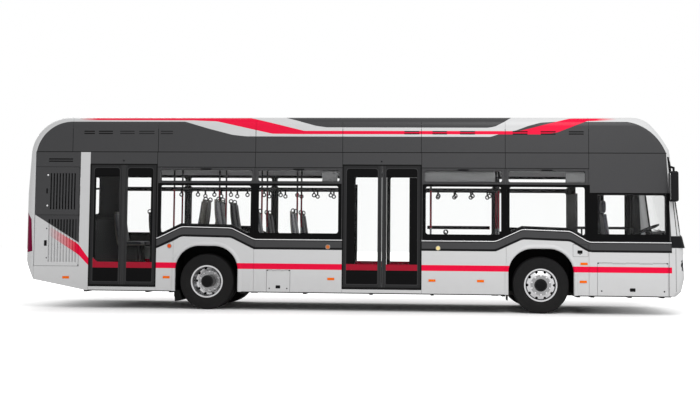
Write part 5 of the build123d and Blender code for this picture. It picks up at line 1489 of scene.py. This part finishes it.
class BUS_OT_ends(bpy.types.Operator):
    """Windscreen edge, wipers, blank sign, headlamp bowls, plate, rear window edge and mirror faces."""

    bl_idname = "bus.ends"
    bl_label = "Front and rear"

    def execute(self, context):
        outer = eased_rectangle(-1.2385, 1.2385, 1.411, 2.799, 0.130)
        inner = eased_rectangle(-1.150, 1.150, 1.500, 2.690, 0.110)
        edge = edging(on_screen, outer, inner, 0.0010, PRINT[1])
        piece("windscreen_edge", [edge], "printed_black")
        self.screen_wraps()
        outer = eased_rectangle(-0.920, 0.920, 1.720, 2.600, 0.13)
        inner = eased_rectangle(-0.850, 0.850, 1.790, 2.530, 0.10)
        edge = edging(on_tail, outer, inner, *PRINT)
        piece("rear_window_edge", [edge], "printed_black")
        self.wipers()
        sign = plate(on_screen, rounded(rectangle(-0.90, 0.90, 2.44, 2.70), 0.02), 0.05, 0.12)
        piece("blank_sign", [sign], "black_panel")
        self.headlamp_bowls()
        loop = rectangle(-PLATE_HALF, PLATE_HALF, FRONT_PLATE_Z, FRONT_PLATE_Z + PLATE_H)
        blank = plate(on_end, rounded(loop, 0.012), FRONT_PLATE_X, FRONT_PLATE_X + 0.004)
        piece("blank_plate_front", [blank], "blank_plate")
        self.tail_pieces()
        near, far = 1.318, 1.482
        loops = [rectangle(*sorted((s * near, s * far)), 2.030, 2.516) for s in (-1, 1)]
        faces = [plate(on_end, rounded(loop, 0.05, 8), 5.6575, 5.6598) for loop in loops]
        piece("mirror_faces", faces, "mirror_silver")
        return {"FINISHED"}

    def screen_wraps(self):
        """Dark bands round the windscreen's sides, narrowing upwards, and along its sill."""
        y = 1.2375
        z = np.linspace(1.404, 2.806, 30)
        outer = 1.2725 - 0.010 * (z - 1.4) / 1.4
        loop = np.concatenate([np.column_stack([np.full(30, y), z]), np.column_stack([outer, z])[::-1]])
        wraps = []
        for s in (-1, 1):
            mirror = np.array([1, s, 1])
            wraps.append(slab(on_screen(loop, -0.0014) * mirror, on_screen(loop, 0.0010) * mirror))
        line = np.linspace(-y, y, 60)
        low, high = np.full(60, 1.3985), np.full(60, 1.418)
        sill = np.concatenate([np.column_stack([line, low]), np.column_stack([line[::-1], high])])
        wraps.append(plate(on_screen, sill, -0.0040, 0.0010))
        piece("screen_wraps", wraps, "printed_black")

    def wipers(self):
        """Two wipers, each with a knob, an arm that nears the screen towards its tip, and a blade."""
        arms, blades = [], []
        foot = 1.430
        section = [[-0.008, -0.007], [0.008, -0.007], [0.005, 0.007], [-0.005, 0.007]]
        knob = [[0, 0.034], [0.016, 0.032], [0.020, 0.010], [0.020, -0.010], [0, -0.010]]
        s = np.linspace(0, 1, 24)
        for y0, y1 in ((0.10, 0.98), (-0.82, 0.06)):
            y, z = y0 + (y1 - y0) * 0.62 * s, foot + 0.10 * s
            lift = 0.030 - 0.014 * s
            arms.append(tube(np.column_stack([nose_front(y, z) + lift, y, z]), 0.008, Z_AXIS))
            y, z = y0 + (y1 - y0) * s, 1.475 + 0.055 * s
            blades.append(sweep(np.column_stack([nose_front(y, z) + 0.010, y, z]), section, Z_AXIS))
            arms.append(turned(knob, (float(nose_front(y0, foot)), y0, foot), X_AXIS))
        piece("wiper_arms", arms, "matt_black", angle=60.0)
        piece("wiper_blades", blades, "black_rubber")

    def headlamp_bowls(self):
        """Three round reflectors behind each headlamp's glass, set back along the bow of the nose."""
        bowls = []
        glass, bow, half = 5.986 - 0.0084, 0.030, 1.145
        for s in (-1, 1):
            for y, r in ((0.875, 0.055), (1.000, 0.062), (1.105, 0.036)):
                x = glass - bow * (y / half) ** 2 - 0.040
                cup = [[r, 0.026], [r * 0.96, 0.028], [r * 0.80, 0.008], [r * 0.45, -0.004]]
                cup += [[0, -0.006], [0, -0.010], [r, -0.010]]
                bowls.append(turned(cup, (x, s * y, 0.880), X_AXIS, 28))
        piece("headlamp_bowls", bowls, "reflector")

    def tail_pieces(self):
        """Valance on the slope below the tail, and dark strips in the engine lid's louvres, painted shade of
        the slots.
        """
        loop = rounded(rectangle(-1.190, 1.190, 0.532, 0.770), 0.040)
        top, run, drop = 0.905, 0.180, 0.388
        slope = (top - loop[:, 1]) * run / drop
        valance = slab(*(np.column_stack([REAR + slope + depth, loop]) for depth in (0.001, 0.007)))
        piece("tail_valance", [valance], "chassis_paint")
        # Painted shade: dark strips set in the lid's louvre slots
        levels = 1.020 + LOUVRE_PITCH * np.arange(8)
        half, face, back = 0.618, -5.9785, -5.9805
        shades = [plate(on_end, rectangle(-half, half, z + 0.001, z + 0.023), face, back) for z in levels]
        piece("lid_shades", shades, "black_panel", "engine_lid")


class BUS_OT_seats(bpy.types.Operator):
    """Passenger seats with padded cushions and backs, ring grips and pedestals, and the driver's seat."""

    bl_idname = "bus.seats"
    bl_label = "Seats"

    def execute(self, context):
        self.passenger_seats()
        self.guard_rails()
        self.straps()
        self.driver_seat()
        return {"FINISHED"}

    def passenger_seats(self):
        """Pairs of seats, each with a tray, a shell, a cushion, a back, a ring grip and a flared stand."""
        base = pad((0.215, 0, -0.040), (0.400, 0.376, 0.078), 0.30, 0.50)
        rest = seat_back(0.176, 0.016, 0.030, 0.010, 0.540)
        shell = seat_back(0.192, 0.012, 0.052, -0.080, 0.582)
        tray = pad((0.210, 0, -0.076), (0.412, 0.392, 0.028), 0.25, 0.35)
        t = np.linspace(0, 2 * np.pi, 25)
        ring = np.column_stack([-0.118 + 0.036 * np.cos(t), np.full(25, 0.0), 0.590 + 0.040 * np.sin(t)])
        ring = tube(ring, 0.010, Y_AXIS)
        shells, pads, grips, stands = [], [], [], []
        for side, x, facing, stand, level in SEATS:
            for y in (side * SEAT_Y, side * (SEAT_Y - SEAT_PITCH)):
                at = (x, y, level)
                shells += [moved(shell, at, facing), moved(tray, at, facing)]
                pads += [moved(base, at, facing), moved(rest, at, facing)]
                grips.append(moved(ring, (x, y - side * 0.150, level), facing))
                stands.append(moved(self.stand(stand - level), at, facing))
        seats = ["passenger_seats"]
        piece("seat_shells", shells, "seat_shell", angle=50.0, replaces=seats)
        cloth = piece("seat_pads", pads, "seat_cloth", angle=80.0)
        piece("seat_grips", grips, "dash_plastic", angle=80.0)
        piece("seat_stands", stands, "chassis_paint")

    def stand(self, floor):
        """Hollow stand below the cushion's level, flared at the floor."""
        column = rounded(rectangle(0.10, 0.32, -0.11, 0.11), 0.03)
        flare = rounded(rectangle(0.08, 0.34, -0.13, 0.13), 0.03)
        levels = ((flare, floor + 0.001), (column, floor + 0.06), (column, -0.082))
        levels += ((column * 0.98, -0.084), (flare * 0.98, floor + 0.001))
        return hoop([np.column_stack([loop, np.full(len(loop), z)]) for loop, z in levels])

    def guard_rails(self):
        """Thick rail in the left bay with two brackets, and the rail beside the cab with two posts."""
        z, y = 1.545, 1.160
        bars = [tube(np.linspace((1.42, y, z), (2.68, y, z), 8), 0.034, Y_AXIS, 12)]
        for x in (1.55, 2.55):
            bars.append(tube(np.linspace((x, 1.165, z), (x, 1.222, z), 4), 0.016, X_AXIS))
        y = -0.262
        bars.append(tube(np.linspace((4.19, y, z), (5.26, y, z), 8), 0.026, Y_AXIS, 10))
        for x in (4.30, 5.18):
            bars.append(tube(np.linspace((x, y, 0.702), (x, y, 1.535), 8), 0.016, X_AXIS))
        piece("guard_rails", bars, "post_enamel", angle=80.0)

    def straps(self):
        """Stiff hangers on the overhead rails, each with a ring."""

        def across(loop, y):
            """Outline of stations and heights, set at a place across the bus."""
            return np.column_stack([loop[:, 0], np.full(len(loop), y), loop[:, 1]])

        turn = np.linspace(0, 2 * np.pi, 21)
        tab = rounded(rectangle(-0.014, 0.014, -0.060, 0.026), 0.004)
        ring_r, half = 0.032, 0.021
        straps = []
        for x in STRAP_X:
            for y in (-STRAP_Y, STRAP_Y):
                hanger = tab + [x, STRAP_RAIL_Z - 0.026]
                ring = np.column_stack([x + ring_r * np.cos(turn), STRAP_RING_Z + ring_r * np.sin(turn)])
                straps += [plate(across, hanger, y - half, y + half), tube(across(ring, y), 0.011, Y_AXIS)]
        piece("strap_hangers", straps, "dash_plastic", angle=70.0)

    def driver_seat(self):
        """Cushion, back and head rest on a waisted pedestal, with the stem of the head rest."""
        base = pad((0.240, 0, -0.052), (0.470, 0.480, 0.110), 0.32, 0.50)
        rest = seat_back(0.220, 0.045, 0.058, 0.005, 0.600)
        head = pad((-0.142, 0, 0.735), (0.085, 0.290, 0.230), 0.45, 0.60)
        pads = [moved(part, DRIVER_SEAT) for part in (base, rest, head)]
        seat = ["driver_seat"]
        driver = piece("driver_cushions", pads, "seat_cloth", angle=80.0, replaces=seat)
        post = [[0, 0.700], [0.150, 0.700], [0.150, 0.740], [0.100, 0.780], [0.090, 1.040], [0.150, 1.080]]
        pedestal = turned([*post, [0, 1.080]], (4.990, DRIVER_Y, 0), Z_AXIS, 28)
        stem = tube(np.linspace((4.616, DRIVER_Y, 1.700), (4.616, DRIVER_Y, 1.784), 8), 0.012, Y_AXIS)
        piece("driver_pedestal", [pedestal, stem], "dash_plastic")


def pose(obj, axes, place):
    """Set an object at a place with its axes given as columns."""
    rows = [[*row, p] for row, p in zip(np.column_stack(axes).tolist(), place)]
    obj.matrix_world = Matrix(rows + [[0, 0, 0, 1]])
    bpy.context.scene.collection.objects.link(obj)


class BUS_OT_stage(bpy.types.Operator):
    """Floor, light, background and the camera."""

    bl_idname = "bus.stage"
    bl_label = "Stage"

    def execute(self, context):
        self.floor(context)
        self.background(context)
        self.lamp("key", (5.0, -9.0, 9.0), (1.5, 0.0, 1.2), 7.0, 620.0)
        self.lamp("fill", (-8.0, 7.0, 8.0), (0.0, 0.0, 1.2), 7.0, 300.0)
        self.camera(context)
        context.scene.view_settings.view_transform = "Standard"
        return {"FINISHED"}

    def floor(self, context):
        """Pale floor that keeps the shadow under the bus and turns white away from it; its glow is held off
        the bus's footprint, so the shadow's depth and reach are partly painted.
        """
        cells, reach, level = 8, 70.0, -0.001
        line = np.linspace(-reach, reach, cells)
        x, y = np.meshgrid(line, line, indexing="ij")
        mesh = bpy.data.meshes.new("floor")
        points = np.column_stack([x.ravel(), y.ravel(), np.full(x.size, level)])
        mesh.from_pydata(points, [], grid_quads(cells, cells).tolist())
        if mesh.polygons[0].normal.z < 0:
            mesh.flip_normals()
        t = finish("studio_floor", (0.90, 0.90, 0.90), 0.9, scale=2.0, depth=0.01, bump=0.0, spec=0.0)
        t.shader.inputs["Emission Color"].default_value = colour(WHITE)
        path = t.add("ShaderNodeLightPath").outputs
        seen = t.math("MAXIMUM", path["Is Camera Ray"], path["Is Transmission Ray"])
        x, y, _ = t.axes(t.place)
        # Painted shadow: camera rays see the floor glow only outside a box round the bus, which leaves a dark
        # patch there that deepens the real shadow
        beyond = [t.math("SUBTRACT", t.math("ABSOLUTE", part), edge) for part, edge in ((x, 4.5), (y, 1.0))]
        away = t.math("MAXIMUM", *beyond)
        glow_round_painted_shadow = t.math("ADD", t.ramp(away, -0.2, 1.2, 0.0, 0.24), t.ramp(away, 1.2, 6.0, 0.0, 0.8))
        t.feed(t.shader.inputs["Emission Strength"], t.math("MULTIPLY", seen, glow_round_painted_shadow))
        mesh.materials.append(bpy.data.materials["studio_floor"])
        floor = bpy.data.objects.new("floor", mesh)
        context.scene.collection.objects.link(floor)

    def background(self, context):
        """Soft light from all round, seen as plain white."""
        world = bpy.data.worlds.new("studio")
        context.scene.world = world
        world.use_nodes = True
        world.node_tree.nodes.clear()
        t = Tree(world.node_tree)
        path = t.add("ShaderNodeLightPath").outputs
        seen = t.math("MAXIMUM", path["Is Glossy Ray"], path["Is Transmission Ray"])
        seen = t.math("MAXIMUM", path["Is Camera Ray"], seen)
        light = t.add("ShaderNodeBackground", Color=colour(WHITE), Strength=0.80)
        white = t.add("ShaderNodeBackground", Color=colour(WHITE), Strength=1.0)
        both = t.tree.nodes.new("ShaderNodeMixShader")
        for socket, value in zip(both.inputs, (seen, light.outputs[0], white.outputs[0])):
            t.feed(socket, value)
        t.feed(t.tree.nodes.new("ShaderNodeOutputWorld").inputs["Surface"], both.outputs[0])

    def lamp(self, name, place, aim, size, watts):
        """Square soft light aimed at a point."""
        data = bpy.data.lights.new(name, "AREA")
        data.size, data.energy = size, watts
        back = np.array(place) - np.array(aim)
        back /= np.linalg.norm(back)
        side = np.cross(Z_AXIS, back)
        side /= np.linalg.norm(side)
        pose(bpy.data.objects.new(name, data), (side, np.cross(back, side), back), place)

    def camera(self, context):
        """Camera across the right flank, from a focal length and a shift in pixels of a picture 700 wide."""
        picture, focal, drop, sensor = 700.0, 1030.5, 36.2, 36.0
        place, angles = (1.313, -19.865, 1.350), (-4.014, 3.472, 0.474)
        data = bpy.data.cameras.new("camera")
        data.sensor_width, data.sensor_fit = sensor, "HORIZONTAL"
        data.lens = focal / picture * sensor
        data.shift_y = -drop / picture
        data.clip_end = 400.0
        yaw, pitch, roll = (math.radians(a) for a in angles)
        ahead = np.array([math.sin(yaw) * math.cos(pitch), math.cos(yaw) * math.cos(pitch), math.sin(pitch)])
        right = np.array([math.cos(yaw), -math.sin(yaw), 0.0])
        up = np.cross(right, ahead)
        across = math.cos(roll) * right + math.sin(roll) * up
        upright = -math.sin(roll) * right + math.cos(roll) * up
        camera = bpy.data.objects.new("camera", data)
        pose(camera, (across, upright, -ahead), place)
        context.scene.camera = camera


class BUS_PT_panel(bpy.types.Panel):
    """Steps of the bus's finish, in order."""

    bl_idname = "BUS_PT_panel"
    bl_label = "City Bus"
    bl_space_type = "VIEW_3D"
    bl_region_type = "UI"
    bl_category = "City Bus"

    def draw(self, context):
        for group in (context.scene.bus_paint, context.scene.bus_trim):
            for key in group.__annotations__:
                self.layout.prop(group, key)
        for step in STEPS:
            self.layout.operator(step.bl_idname)


STEPS = (
    BUS_OT_finishes,
    BUS_OT_window_trim,
    BUS_OT_belt,
    BUS_OT_seams,
    BUS_OT_arches,
    BUS_OT_doors,
    BUS_OT_wheels,
    BUS_OT_small_parts,
    BUS_OT_ends,
    BUS_OT_seats,
    BUS_OT_stage,
)
CLASSES = (BusPaint, BusTrim, *STEPS, BUS_PT_panel)


def register():
    """Add the classes and their settings."""
    for cls in CLASSES:
        bpy.utils.register_class(cls)
    bpy.types.Scene.bus_paint = bpy.props.PointerProperty(type=BusPaint)
    bpy.types.Scene.bus_trim = bpy.props.PointerProperty(type=BusTrim)


def unregister():
    """Take them away again."""
    del bpy.types.Scene.bus_trim, bpy.types.Scene.bus_paint
    for cls in reversed(CLASSES):
        bpy.utils.unregister_class(cls)


def main():
    """Run every step."""
    register()
    for step in STEPS:
        group, name = step.bl_idname.split(".")
        getattr(getattr(bpy.ops, group), name)()


if __name__ == "__main__":
    main()
